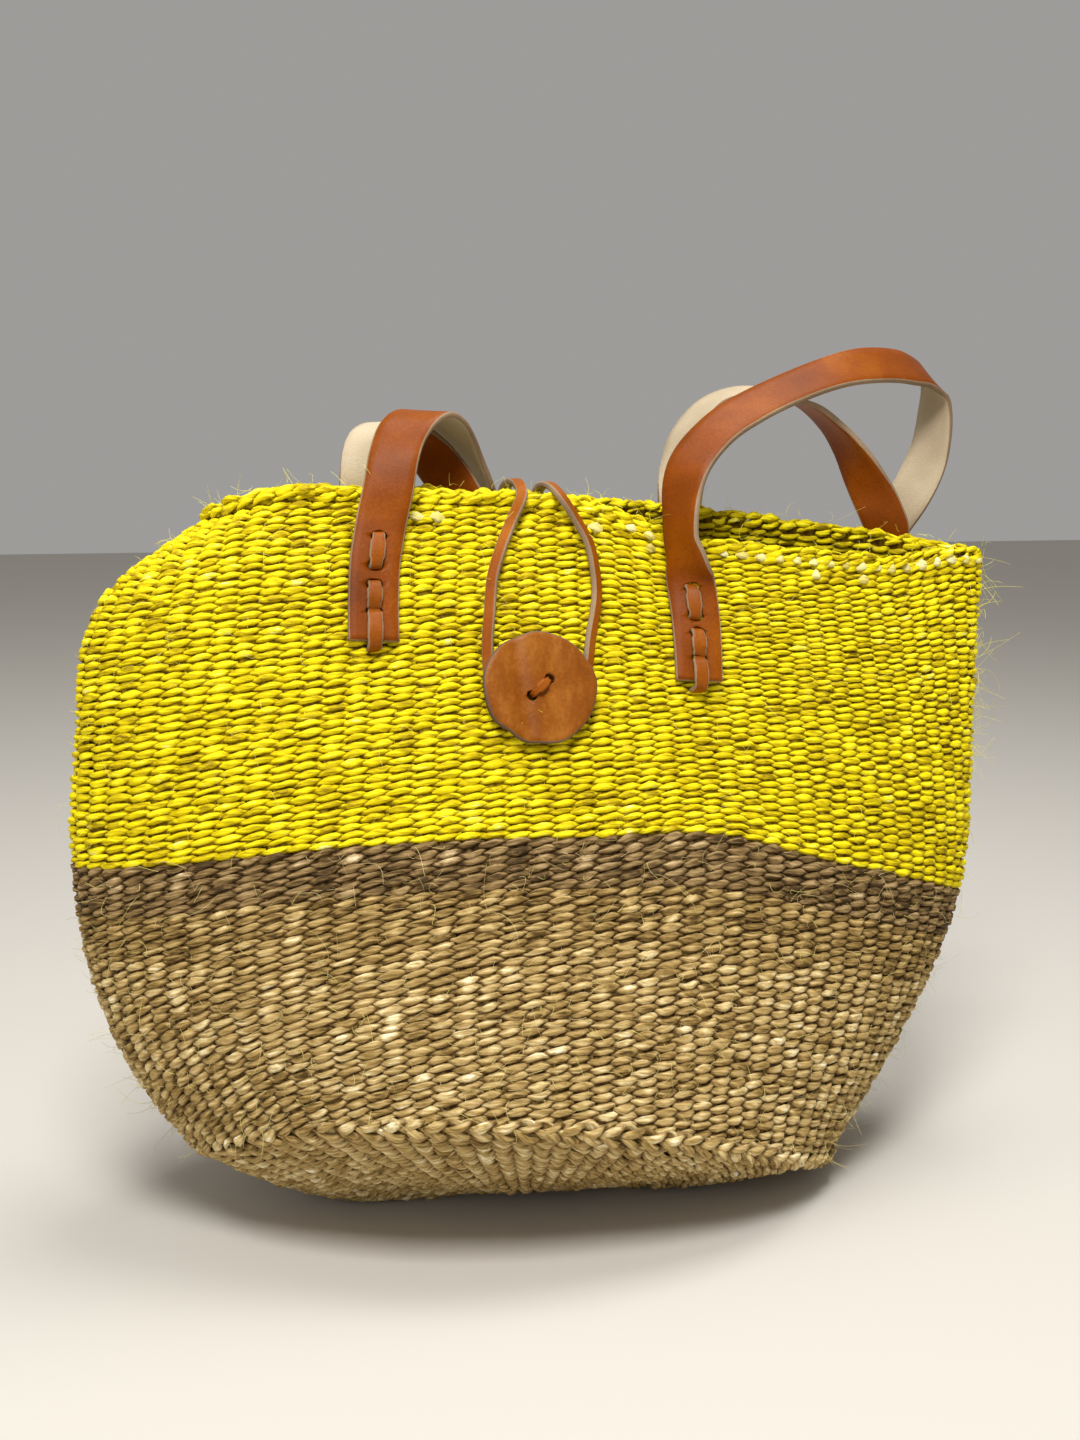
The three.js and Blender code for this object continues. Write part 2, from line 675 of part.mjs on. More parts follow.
// Lace of one strap tail: two stitches and a third that laps over the end of the strap.
function lacePath(strap) {
  const [first, second, third, fourth, fifth] = strap.crossings.map((height) => tailPlace(strap, height));
  const stitchMiddle = tailPlace(strap, (strap.crossings[0] + strap.crossings[1]) / 2);
  const shifted = ({ centre, across }, up, distance) => {
    const moved = centre.clone().addScaledVector(up, distance);
    return { centre: moved, across };
  };
  return roundedLine([
    shifted(first.inner, first.up, laceTail),
    first.inner,
    first.outer,
    stitchMiddle.outer,
    second.outer,
    second.inner,
    third.inner,
    third.outer,
    shifted(fourth.outer, fourth.up, laceThickness),
    fourth.dip,
    shifted(fourth.outer, fourth.up, -laceThickness),
    fifth.outer,
    fifth.inner,
    shifted(fifth.inner, fifth.up, laceTail),
  ], laceBend);
}

function laceSolid(strap) {
  return ribbonAlong(lacePath(strap), laceWidth, laceThickness);
}

function placed(geometry, centre, right, up, out) {
  const isMirrored = right.clone().cross(up).dot(out) < 0;
  const first = isMirrored ? right.clone().negate() : right;
  return geometry.applyMatrix4(new THREE.Matrix4().makeBasis(first, up, out).setPosition(centre));
}

function boxAlong(centre, right, up, out, size) {
  return placed(new THREE.BoxGeometry(...size), centre, right, up, out);
}

function laceHoles(strap, throughWall) {
  const used = throughWall ? [0, 1, 2, 4] : [0, 1, 2, 3];
  return used.map((k) => {
    const place = tailPlace(strap, strap.crossings[k]);
    const out = place.outer.centre.clone().sub(place.inner.centre);
    const length = out.length() + 2 * laceThickness;
    out.normalize();
    const across = place.inner.across;
    const right = across.clone().addScaledVector(out, -across.dot(out)).normalize();
    const up = out.clone().cross(right);
    const centre = place.outer.centre.clone().add(place.inner.centre).multiplyScalar(0.5);
    const height = k === 3 ? dipHeight : laceThickness + 2 * holeAllowance;
    return boxAlong(centre, right, up, out, [laceWidth + 2 * holeAllowance, height, length]);
  });
}

// Thong of the closing loop; every place has the direction facing away from the bag.
function thongRibbon(places, steps) {
  const centres = smoothRow(places.map((place) => place.centre), steps);
  const outs = smoothRow(places.map((place) => place.out), steps);
  const acrosses = centres.map((centre, i) => {
    const before = centres[Math.max(i - 1, 0)];
    const after = centres[Math.min(i + 1, steps)];
    return outs[i].clone().cross(after.clone().sub(before)).normalize();
  });
  return ribbon(centres, acrosses, thongWidth, thongThickness);
}

function thongPlaces(shares, side) {
  return shares.map(([x, height]) => {
    const place = wallPlace(x * mouthWidth, height * bagHeight, side);
    const centre = place.point.clone().addScaledVector(place.out, seatGap + thongThickness / 2);
    return { centre, out: place.out };
  });
}

function rimPlaces(shares) {
  return shares.map(([x, y, z, lean]) => ({
    centre: atShares(x, y, z),
    out: new THREE.Vector3(0, lean, 1).normalize(),
  }));
}

function closureLoop() {
  const places = [
    ...rimPlaces(loopOverLeftShares),
    ...thongPlaces(loopLeftShares, -1),
    ...thongPlaces(loopBottomShares, -1),
    ...thongPlaces(loopRightShares, -1).reverse(),
    ...rimPlaces(loopOverRightShares).reverse(),
  ];
  return thongRibbon(places, 56);
}

function roundKnot(centre, right, up, out, size) {
  const knot = new THREE.SphereGeometry(0.5, 10, 8);
  return placed(knot.scale(...size), centre, right, up, out);
}

// Both ends of the loop run down the back wall, through one hole and into a knot inside.
function loopAnchor() {
  const hole = wallPlace(anchorShares[0] * mouthWidth, anchorShares[1] * bagHeight, 1);
  const depthAt = (distance) => hole.point.clone().addScaledVector(hole.out, distance);
  const leg = (shares, offset) => {
    const row = [...rimPlaces(shares.slice(0, 1)), ...thongPlaces(shares.slice(1), 1)];
    const inHole = (distance) => depthAt(distance).addScaledVector(hole.right, offset);
    const centres = [
      ...row.map((place) => place.centre),
      inHole(seatGap + thongThickness / 2),
      inHole(-wallThickness - knotDepth / 2),
    ];
    const corners = centres.map((centre) => ({ centre, across: hole.right }));
    return ribbonAlong(roundedLine(corners, thongBend), thongWidth, thongThickness);
  };
  const apart = (thongWidth + seatGap) / 2;
  const knot = roundKnot(
    depthAt(-wallThickness - seatGap - knotDepth / 2),
    hole.right,
    hole.up,
    hole.out,
    [knotWidth, knotHeight, knotDepth],
  );
  return joined([leg(anchorLeftShares, -apart), leg(anchorRightShares, apart), knot]);
}

function anchorHole() {
  const hole = wallPlace(anchorShares[0] * mouthWidth, anchorShares[1] * bagHeight, 1);
  const size = [2 * thongWidth + seatGap + 2 * holeAllowance, anchorHoleHeight, holeDepth];
  return boxAlong(hole.point, hole.right, hole.up, hole.out, size);
}

function buttonFrame() {
  const place = wallPlace(buttonShares[0] * mouthWidth, buttonShares[1] * bagHeight, -1);
  const level = place.right.clone().multiplyScalar(Math.cos(laceSlant));
  const slantRight = level.addScaledVector(place.up, Math.sin(laceSlant));
  const slantUp = place.out.clone().cross(slantRight);
  const depthAt = (distance) => place.point.clone().addScaledVector(place.out, distance);
  return { ...place, slantRight, slantUp, depthAt };
}

function roundAlong(centre, out, radius, length, sides) {
  const post = new THREE.CylinderGeometry(radius, radius, length, sides);
  post.applyQuaternion(new THREE.Quaternion().setFromUnitVectors(new THREE.Vector3(0, 1, 0), out));
  post.translate(centre.x, centre.y, centre.z);
  return post;
}

function buttonDisc() {
  const frame = buttonFrame();
  const disc = roundAlong(frame.depthAt(buttonLift), frame.out, buttonRadius, buttonThickness, discSides);
  const slits = [-0.5, 0.5].map((share) => boxAlong(
    frame.depthAt(buttonLift).addScaledVector(frame.slantRight, share * buttonLaceSpan),
    frame.slantRight,
    frame.slantUp,
    frame.out,
    [buttonLaceThickness + 2 * holeAllowance, buttonLaceWidth + 2 * holeAllowance, holeDepth],
  ));
  return cutBy(disc, slits);
}

// Lace of the button: a stitch over the disc, two posts, a bar behind it, a stem and a knot inside.
function buttonLace() {
  const frame = buttonFrame();
  const front = buttonLift + buttonThickness / 2 + seatGap + buttonLaceThickness / 2;
  const back = buttonLift - buttonThickness / 2 - seatGap - buttonLaceThickness / 2;
  const bar = (distance) => boxAlong(
    frame.depthAt(distance),
    frame.slantRight,
    frame.slantUp,
    frame.out,
    [buttonLaceSpan + buttonLaceThickness, buttonLaceWidth, buttonLaceThickness],
  );
  const post = (share) => boxAlong(
    frame.depthAt((front + back) / 2).addScaledVector(frame.slantRight, share * buttonLaceSpan),
    frame.slantRight,
    frame.slantUp,
    frame.out,
    [buttonLaceThickness, buttonLaceWidth, front - back],
  );
  const inside = -wallThickness - seatGap - buttonKnotRadius / 2;
  const stemCentre = frame.depthAt((back + inside) / 2);
  const stem = roundAlong(stemCentre, frame.out, stemRadius, back - inside, stemSides);
  const knotSize = [2 * buttonKnotRadius, 2 * buttonKnotRadius, buttonKnotRadius];
  const knot = roundKnot(frame.depthAt(inside), frame.right, frame.up, frame.out, knotSize);
  return joined([bar(front), bar(back), post(-0.5), post(0.5), stem, knot]);
}

function stemHole() {
  const frame = buttonFrame();
  return roundAlong(frame.point, frame.out, stemRadius + holeAllowance, holeDepth, stemSides);
}

const group = new THREE.Group();
group.name = 'kiondo_basket';

function addPiece(name, geometry, [colour, roughness]) {
  const material = new THREE.MeshStandardMaterial({ color: colour, roughness, metalness: 0 });
  geometry.computeVertexNormals();
  const mesh = new THREE.Mesh(geometry, material);
  mesh.name = name;
  group.add(mesh);
}

const tails = {
  front_left: {
    tail: frontLeftTailShares,
    beyond: frontHandleShares.slice(0, 2),
    crossings: frontLeftLaceShares,
    side: -1,
  },
  front_right: {
    tail: frontRightTailShares,
    beyond: frontHandleShares.slice(-2).reverse(),
    crossings: frontRightLaceShares,
    side: -1,
  },
  back_left: {
    tail: backLeftTailShares,
    beyond: backHandleShares.slice(0, 2),
    crossings: backLeftLaceShares,
    side: 1,
  },
  back_right: {
    tail: backRightTailShares,
    beyond: backHandleShares.slice(-2).reverse(),
    crossings: backRightLaceShares,
    side: 1,
  },
};
const wallCuts = [
  ...Object.values(tails).flatMap((strap) => laceHoles(strap, true)),
  anchorHole(),
  stemHole(),
];
const frontStrap = splitStrap(
  strapHalves(frontLeftTailShares, frontHandleShares, frontRightTailShares, -1, frontMeeting),
  frontHingeShares,
);
const backStrap = splitStrap(
  strapHalves(backLeftTailShares, backHandleShares, backRightTailShares, 1, backMeeting),
  backHingeShares,
);
const strapEnds = {
  front_left: frontStrap.left,
  front_right: frontStrap.right,
  back_left: backStrap.left,
  back_right: backStrap.right,
};

addPiece('base_disc', baseDisc(), colours.straw);
addPiece('base_ridge', baseRidge(), colours.cord);
addPiece('lower_wall', wallBand(lowerWallShares), colours.straw);
addPiece('dark_band', wallBand(darkBandShares), colours.umber);
addPiece('upper_wall', cutBy(wallBand(upperWallShares), wallCuts), colours.yellow);
addPiece('rim_braid', rimBraid(), colours.yellow);
Object.entries(strapEnds).forEach(([corner, strapEnd]) => {
  addPiece(`${corner}_strap_end`, cutBy(strapEnd, laceHoles(tails[corner], false)), colours.leather);
  addPiece(`${corner}_lace`, laceSolid(tails[corner]), colours.thong);
});
addPiece('front_handle', frontStrap.handle, colours.leather);
addPiece('back_handle', backStrap.handle, colours.leather);
addPiece('closure_loop', closureLoop(), colours.thong);
addPiece('loop_anchor', loopAnchor(), colours.thong);
addPiece('button_disc', buttonDisc(), colours.disc);
addPiece('button_lace', buttonLace(), colours.thong);

export default group;
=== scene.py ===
import math

import bmesh
import bpy
import numpy as np
from mathutils import Matrix, Vector


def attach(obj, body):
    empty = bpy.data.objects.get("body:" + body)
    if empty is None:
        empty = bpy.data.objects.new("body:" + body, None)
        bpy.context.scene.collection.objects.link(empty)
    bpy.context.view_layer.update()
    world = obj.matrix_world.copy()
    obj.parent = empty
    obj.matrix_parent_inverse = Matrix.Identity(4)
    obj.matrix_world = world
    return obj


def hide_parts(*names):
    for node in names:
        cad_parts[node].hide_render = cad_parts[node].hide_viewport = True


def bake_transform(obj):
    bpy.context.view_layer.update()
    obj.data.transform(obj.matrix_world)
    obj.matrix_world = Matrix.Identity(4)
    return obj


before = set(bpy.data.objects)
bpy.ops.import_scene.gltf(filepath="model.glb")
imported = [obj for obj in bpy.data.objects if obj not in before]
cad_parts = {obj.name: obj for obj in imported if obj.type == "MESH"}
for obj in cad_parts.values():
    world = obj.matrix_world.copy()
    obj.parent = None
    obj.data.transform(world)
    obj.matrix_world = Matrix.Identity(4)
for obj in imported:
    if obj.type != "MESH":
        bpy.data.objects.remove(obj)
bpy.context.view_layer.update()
print("frame loaded")

mouthWidth = 0.4
bagHeight = 0.294

# Outside of the bag: its outline, depth and level at five stations from base to rim.
surface = {
    "stations": [0, 0.2, 0.43, 0.7, 1],
    "right": [0.316, 0.4135, 0.498, 0.5125, 0.52],
    "left": [-0.3875, -0.47, -0.4975, -0.485, -0.475],
    "depth": [0.27, 0.225, 0.16, 0.09, 0.02],
    "height": [0.1956, 0.3537, 0.5544, 0.7789, 1],
    "tilt": [0.0952, 0.0782, 0.0646, 0.0544, 0.0476],
    "drop": [0.102, 0.1122, 0.102, 0.0612, 0.034],
    "round": [2.3, 2.3, 2.5, 3, 3.6],
    "endRound": 0.8,
    "mouthBulge": 0.009,
    "bulge": (0.2625, 0.1375),
    "rimSag": 0.013,
    "slackStart": (0.0125, 0.155),
    "slackEnd": (0.375, 0.5225),
    "bandRise": 0.005,
    "swell": ((0.125, 0.095), (0.43, 0.12)),
    "leftDip": 0.024,
    "rightLift": 0.005,
    "turnRadius": 0.024,
    "foldStart": 0.45,
    "foldCurve": 1.7,
    "foldLine": (-0.51, -0.255),
    "foldAngle": math.radians(92),
    "foldDrop": 0.12,
    "cornerDrop": 0.0045,
    "baseCentre": -0.008,
    "baseReach": 0.146,
    "baseFlat": 0.12,
    "baseBend": 1.65,
}


def smoothAt(name, v):
    knots = np.array(surface["stations"], float)
    values = np.array(surface[name], float)
    low = np.maximum(np.arange(5) - 1, 0)
    high = np.minimum(np.arange(5) + 1, 4)
    slopes = (values[high] - values[low]) / (knots[high] - knots[low])
    i = np.clip(np.searchsorted(knots, v, side="right") - 1, 0, 3)
    span = knots[i + 1] - knots[i]
    t = (v - knots[i]) / span
    rise = 3 * t**2 - 2 * t**3
    start = (1 - rise) * values[i] + (t**3 - 2 * t**2 + t) * span * slopes[i]
    return start + rise * values[i + 1] + (t**3 - t**2) * span * slopes[i + 1]


def easeBetween(low, high, x):
    t = np.clip((np.asarray(x, float) - low) / (high - low), 0, 1)
    return t * t * (3 - 2 * t)


def offSquared(x, place):
    # Square of the distance of x from place[0], in units of place[1].
    return ((x - place[0]) / place[1]) ** 2


def spanAt(v):
    # Middle and half width of the bag at level v.
    right = smoothAt("right", v) * mouthWidth
    left = smoothAt("left", v) * mouthWidth
    return (right + left) / 2, (right - left) / 2


def wallPoint(reach, v, side):
    # Point of the outer wall: reach -1 to 1 across, side -1 front and 1 back.
    middle, half = spanAt(v)
    x = middle + half * reach
    share = x / mouthWidth
    fullness = np.sqrt(np.maximum(1 - np.abs(reach) ** smoothAt("round", v), 0))
    opening = easeBetween(0.55, 1, v) * np.exp(-offSquared(share, surface["bulge"]))
    depth = smoothAt("depth", v) * mouthWidth + surface["mouthBulge"] * opening
    y = side * depth * fullness
    slack = easeBetween(*surface["slackStart"], share)
    slack = slack * (1 - easeBetween(*surface["slackEnd"], share))
    isFront = np.asarray(side) < 0
    sag = np.where(isFront, surface["rimSag"] * easeBetween(0.6, 1, v) * slack * fullness, 0)
    swell = np.exp(-offSquared(share, surface["swell"][0]) - offSquared(v, surface["swell"][1]))
    rise = np.where(isFront, surface["bandRise"] * swell, 0)
    endLift = np.where(np.asarray(reach) < 0, -surface["leftDip"], surface["rightLift"])
    endShift = endLift * np.abs(reach) ** 8 * (1 - easeBetween(0, 0.3, v))
    level = smoothAt("height", v) - smoothAt("tilt", v) * reach - smoothAt("drop", v) * reach**2
    return turnedBack(x, y, level * bagHeight - sag + rise + endShift, v)


def turnedBack(x, y, z, v):
    # Everything left of a line that moves inward toward the rim is turned back round it.
    onset = np.clip((v - surface["foldStart"]) / (1 - surface["foldStart"]), 0, 1)
    low, high = surface["foldLine"]
    line = ((high - low) * onset ** surface["foldCurve"] + low) * mouthWidth
    beyond = np.maximum(line - x, 0)
    turn = surface["turnRadius"]
    angle = np.minimum(beyond / turn, surface["foldAngle"])
    rest = beyond - angle * turn
    turnedX = line - turn * np.sin(angle) - rest * np.cos(angle) + y * np.sin(angle)
    turnedY = turn * (1 - np.cos(angle)) + rest * np.sin(angle) + y * np.cos(angle)
    isTurned = beyond > 0
    drop = surface["cornerDrop"] * easeBetween(0.2, 1.4, beyond / turn) * easeBetween(0.8, 1, v)
    return np.stack([
        np.where(isTurned, turnedX, x),
        np.where(isTurned, turnedY, y),
        np.where(isTurned, z - surface["foldDrop"] * beyond - drop, z),
    ], -1)


def shellPoint(phase, v):
    c = np.cos(phase)
    reach = np.sign(c) * np.abs(c) ** surface["endRound"]
    return wallPoint(reach, v, np.where(np.sin(phase) >= 0, -1, 1))


def lengthsOf(points):
    # Length of the line from its start to each of its points.
    steps = np.linalg.norm(np.diff(points, axis=0), axis=1)
    return np.concatenate([[0], np.cumsum(steps)])


def phasesAt(v, shares):
    # Phases of the given shares of the way round the bag at level v.
    fine = np.linspace(0, 2 * np.pi, 1441)
    lengths = lengthsOf(shellPoint(fine, np.full(fine.shape, v)))
    return np.interp(np.mod(shares, 1), lengths / lengths[-1], fine)


def ringAt(v, shares):
    return shellPoint(phasesAt(v, shares), np.full(np.shape(shares), v))


def evenShares(count):
    return np.arange(count) / count


def unit(vectors):
    return vectors / np.maximum(np.linalg.norm(vectors, axis=-1, keepdims=True), 1e-12)


def directionsOf(points):
    before = np.concatenate([points[:1], points[:-1]])
    after = np.concatenate([points[1:], points[-1:]])
    return unit(after - before)


def wallFrames(v, shares):
    # Points on the wall with the directions along the row, up the wall and outward.
    points = ringAt(v, shares)
    along = unit(ringAt(v, shares + 0.002) - ringAt(v, shares - 0.002))
    upward = ringAt(min(v + 0.006, 1.0), shares) - ringAt(v - 0.006, shares)
    outward = unit(np.cross(upward, along))
    return points, along, unit(np.cross(along, outward)), outward


def basePoint(share, phase):
    edge = shellPoint(phase, np.zeros(np.shape(phase)))
    centre = surface["baseCentre"]
    reach = np.clip((edge[..., 0] - centre) / surface["baseReach"], -1, 1)
    flat = surface["baseFlat"] + 0.27 * easeBetween(0.4, 0.72, reach) + 0.375 * np.abs(reach) ** 9
    climb = (np.maximum(share - flat, 0) / (1 - flat)) ** surface["baseBend"]
    x = centre + (edge[..., 0] - centre) * share
    return np.stack([x, edge[..., 1] * share, edge[..., 2] * climb], -1)


def baseFrames(share, shares):
    phase = phasesAt(0, shares)
    along = unit(basePoint(share, phase + 0.01) - basePoint(share, phase - 0.01))
    inward = basePoint(share - 0.01, phase) - basePoint(share + 0.01, phase)
    below = unit(np.cross(along, inward))
    below = np.where(below[..., 2:] > 0, -below, below)
    return basePoint(share, phase), along, unit(inward), below


def addObject(name, data):
    thing = bpy.data.objects.new(name, data)
    bpy.context.scene.collection.objects.link(thing)
    return thing


def ringQuads(count, width, start=0, isLooped=False):
    # Quads between rings of points, and from the last ring to the first if isLooped.
    index = start + np.arange(count * width).reshape(count, width)
    near = index if isLooped else index[:-1]
    far = np.roll(index, -1, 0) if isLooped else index[1:]
    return np.stack([near, np.roll(near, -1, 1), np.roll(far, -1, 1), far], -1).reshape(-1, 4)


def newMesh(name, points, faces):
    mesh = bpy.data.meshes.new(name)
    points = np.asarray(points, np.float32)
    faces = np.asarray(faces, np.int32)
    mesh.vertices.add(len(points))
    mesh.vertices.foreach_set("co", points.ravel())
    mesh.loops.add(faces.size)
    mesh.loops.foreach_set("vertex_index", faces.ravel())
    mesh.polygons.add(len(faces))
    starts = np.arange(0, faces.size, faces.shape[1], dtype=np.int32)
    mesh.polygons.foreach_set("loop_start", starts)
    mesh.update(calc_edges=True)
    mesh.validate()
    mesh.polygons.foreach_set("use_smooth", np.ones(len(faces), bool))
    return addObject(name, mesh)


def solidMesh(name, points, faces, kinds):
    # Closed mesh with a material number for each face.
    mesh = bpy.data.meshes.new(name)
    mesh.from_pydata([tuple(p) for p in points], [], faces)
    mesh.update()
    mesh.polygons.foreach_set("material_index", np.array(kinds, np.int32))
    mesh.polygons.foreach_set("use_smooth", np.ones(len(faces), bool))
    work = bmesh.new()
    work.from_mesh(mesh)
    bmesh.ops.recalc_face_normals(work, faces=work.faces)
    work.to_mesh(mesh)
    work.free()
    return addObject(name, mesh)


def addValues(thing, name, values):
    values = np.asarray(values, np.float32)
    kind = "FLOAT" if values.ndim == 1 else "FLOAT_VECTOR"
    attribute = thing.data.attributes.new(name, kind, "POINT")
    attribute.data.foreach_set("value" if values.ndim == 1 else "vector", values.ravel())


class Strands:
    # Collects tubes of one kind and writes them as one mesh with its yarn attributes.
    def __init__(self, sides, roughness=0.0, paintedTopLight=0.0):
        self.sides = sides
        self.roughness = roughness
        self.paintedTopLight = paintedTopLight
        self.points = []
        self.faces = []
        self.lay = []
        self.tone = []
        self.count = 0

    def add(self, centres, wide, thick, across, outward, tone, along, deep, isClosed=False):
        count = len(centres)
        wide, thick, tone, along, deep = (
            np.broadcast_to(k, count) for k in (wide, thick, tone, along, deep))
        across, outward = (np.broadcast_to(k, (count, 3)) for k in (across, outward))
        turns = evenShares(self.sides) * 2 * np.pi
        c = np.cos(turns)[None, :, None]
        s = np.sin(turns)[None, :, None]
        rough = 1 + chance.normal(0, self.roughness, (count, self.sides, 1))
        rings = (centres[:, None] + across[:, None] * (wide[:, None, None] * c * rough)
                 + outward[:, None] * (thick[:, None, None] * s * rough))
        self.faces.append(ringQuads(count, self.sides, self.count, isClosed))
        self.points.append(rings.reshape(-1, 3))
        shown = np.where(deep < 0, -1, 1)[:, None]
        # Share of painted light: painted shade where the strand lies deep in the weave and on its
        # side toward the wall; the class's third setting paints the upper side of the yarn
        # lighter and the lower side darker, as light from above.
        paintedLight = np.abs(deep)[:, None] + 0.3 * s[..., 0] * shown + self.paintedTopLight * c[..., 0]
        around = np.tile(turns / (2 * np.pi), count)
        self.lay.append(np.stack([np.repeat(along, self.sides), around, paintedLight.ravel()], -1))
        self.tone.append(np.repeat(tone, self.sides))
        self.count += count * self.sides

    def build(self, name):
        thing = newMesh(name, np.concatenate(self.points), np.concatenate(self.faces))
        addValues(thing, "lay", np.concatenate(self.lay))
        addValues(thing, "tone", np.concatenate(self.tone))
        return thing


weave = {
    "warps": 96,
    "steps": 5,
    "sides": 6,
    "wallHalf": 0.0025,
    "swing": 0.0015,
    "yarnThick": 0.0014,
    "yarnWide": 0.5,
    "brownRows": 33,
    "yellowRows": 44,
    "fadeRows": (3, 17),
    "bandTop": 0.43,
    "wallStart": 0.012,
    "wallEnd": 0.978,
    "brown": {"slant": 0.27, "taper": 0.42, "crossShade": 0.7},
    "yellow": {"slant": 0.2, "taper": 0.44, "crossShade": 0.42},
    "pieces": {
        "lower_weave_a": (0, 13, "tan"),
        "lower_weave_b": (13, 27, "tan"),
        "dark_weave": (27, 33, "dark"),
        "upper_weave_0": (33, 48, "yellow"),
        "upper_weave_1": (48, 63, "yellow"),
        "upper_weave_2": (63, 77, "yellow"),
    },
}
chance = np.random.default_rng(7)


def rowLevels():
    # Levels of the rows, evenly spaced up the middle of the front in each colour.
    fine = np.linspace(weave["wallStart"], weave["wallEnd"], 600)
    lengths = lengthsOf(wallPoint(np.full(600, 0.05), fine, np.full(600, -1)))
    change = np.interp(weave["bandTop"], fine, lengths)
    brown = (np.arange(weave["brownRows"]) + 0.5) / weave["brownRows"] * change
    span = lengths[-1] - change
    yellow = change + (np.arange(weave["yellowRows"]) + 0.5) / weave["yellowRows"] * span
    return np.interp(np.concatenate([brown, yellow]), lengths, fine)


def stitchNoise(count, spread):
    return chance.normal(0, spread, count)


def twineRow(strands, frames, pitch, shift, warps=weave["warps"], steps=weave["steps"],
             slant=0.3, wobble=1.0, rowTone=0.0, taper=0.45, crossShade=0.75):
    # Two strands that turn round each other, one of them over each upright of the weave.
    points, along, up, out = frames
    u = np.arange(warps * steps) / steps
    around = 2 * np.pi * u / warps
    middle = points - out * weave["wallHalf"]
    waves = chance.uniform(0, 2 * np.pi, 2)
    drift = 0.07 * np.sin(13 * around + waves[0]) + 0.05 * np.sin(31 * around + waves[1])
    for strand in (0, 1):
        at = u + strand + shift + drift
        front = np.cos(np.pi * at)
        size = 1 + stitchNoise(warps + 4, 0.13 * wobble)
        level = stitchNoise(warps + 4, 0.11 * wobble)
        proud = stitchNoise(warps + 4, 0.0003 * wobble)
        shade = stitchNoise(warps + 4, 0.22) + stitchNoise(1, 0.1)
        shade += np.where(chance.random(warps + 4) < 0.02, 0.5, 0.0)
        pick = np.mod(np.floor(at + 0.5).astype(int), warps)
        blend = np.abs(front)
        swing = np.sign(front) * blend**0.85 * weave["swing"] + proud[pick] * blend
        rise = -slant * np.sin(np.pi * at) * pitch + level[pick] * pitch * blend
        centres = middle + out * swing[:, None] + up * rise[:, None]
        wide = pitch * weave["yarnWide"] * (1 - taper * (1 - blend**0.8))
        wide = wide * (1 + (size[pick] - 1) * blend)
        thick = weave["yarnThick"] * (0.7 + 0.3 * blend)
        lean = unit(up + along * (slant * np.pi * 0.3 * front)[:, None])
        # Painted shade: each strand's ends, where it dives between the uprights, get less light
        # by this share.
        deep = np.where(front < 0, -1, 1) * (1 - crossShade * (1 - blend))
        tone = shade[pick] * blend + rowTone
        phase = u * 0.0091 + stitchNoise(1, 3)
        strands.add(centres, wide, thick, lean, out, tone, phase, deep, True)


def wallPieces():
    shares = evenShares(weave["warps"] * weave["steps"])
    rows = [wallFrames(v, shares) for v in rowLevels()]
    points = np.array([row[0] for row in rows])
    pitches = np.linalg.norm(np.gradient(points, axis=0), axis=2)
    made = {}
    for name, (first, last, _) in weave["pieces"].items():
        strands = Strands(weave["sides"], roughness=0.08, paintedTopLight=0.4)
        for i in range(first, last):
            isBrown = i < weave["brownRows"]
            shift = 0.07 * math.sin(i * 1.7) + 0.03 * math.sin(i * 4.3)
            fade = 1 - float(easeBetween(*weave["fadeRows"], weave["brownRows"] - 1 - i))
            twineRow(strands, rows[i], pitches[i] * (1 if isBrown else 0.93), shift,
                     rowTone=-0.42 * fade if isBrown else 0.0,
                     **weave["brown" if isBrown else "yellow"])
        made[name] = strands.build(name)
    print("wall woven", sum(len(thing.data.polygons) for thing in made.values()))
    return made


def warpPiece(name, low, high):
    # Uprights between the rows, narrower where the wall turns sharply.
    levels = np.linspace(low, high, 24)
    shares = evenShares(weave["warps"])
    grid = [wallFrames(v, shares) for v in levels]
    straight = [np.sum(np.roll(row[1], 1, 0) * np.roll(row[1], -1, 0), axis=1) for row in grid]
    halves = 0.0043 * np.clip(straight, 0.25, 1) ** 1.5
    strands = Strands(5)
    for k in range(weave["warps"]):
        points, along, up, out = (np.array([row[part][k] for row in grid]) for part in range(4))
        middle = points - out * weave["wallHalf"]
        # Painted shade: the uprights get a low tone and little share of light, as they lie in
        # shade behind the rows.
        strands.add(middle, halves[:, k], 0.0009, along, out, -0.6, levels * 0.25 + k, 0.15)
    return strands.build(name)


baseWeave = {
    "rings": 33,
    "outerRings": 17,
    "edge": 0.985,
    "span": 0.97,
    "warps": ((0.5, 96), (0.22, 48), (0, 24)),
}


def basePieces():
    # Rings from the edge inward, over fewer uprights toward the middle.
    rings, split = baseWeave["rings"], baseWeave["outerRings"]
    spacing = baseWeave["span"] / rings
    made = {}
    for name, indices in (("outer", range(split)), ("inner", range(split, rings))):
        strands = Strands(weave["sides"], roughness=0.08, paintedTopLight=-0.3)
        for i in indices:
            share = baseWeave["edge"] - spacing * i
            warps = next(count for low, count in baseWeave["warps"] if share > low)
            shares = evenShares(warps * weave["steps"])
            phase = phasesAt(0, shares)
            gap = basePoint(share + spacing / 2, phase) - basePoint(share - spacing / 2, phase)
            pitch = np.linalg.norm(gap, axis=1)
            twineRow(strands, baseFrames(share, shares), pitch, 0.0, warps)
        made[name] = strands.build(f"base_weave_{name}")
    return made


def baseFloor():
    # Thin sheet inside the base weave, so that no gap shows through it; with no yarn attributes
    # it takes the painted-shade colours of its yarn all over.
    rings, sides = 14, 72
    points = []
    for share in np.linspace(0.02, 0.975, rings):
        place, along, up, below = baseFrames(share, evenShares(sides))
        points.append(place - below * weave["wallHalf"])
    return newMesh("base_uprights_shaded", np.concatenate(points), ringQuads(rings, sides))
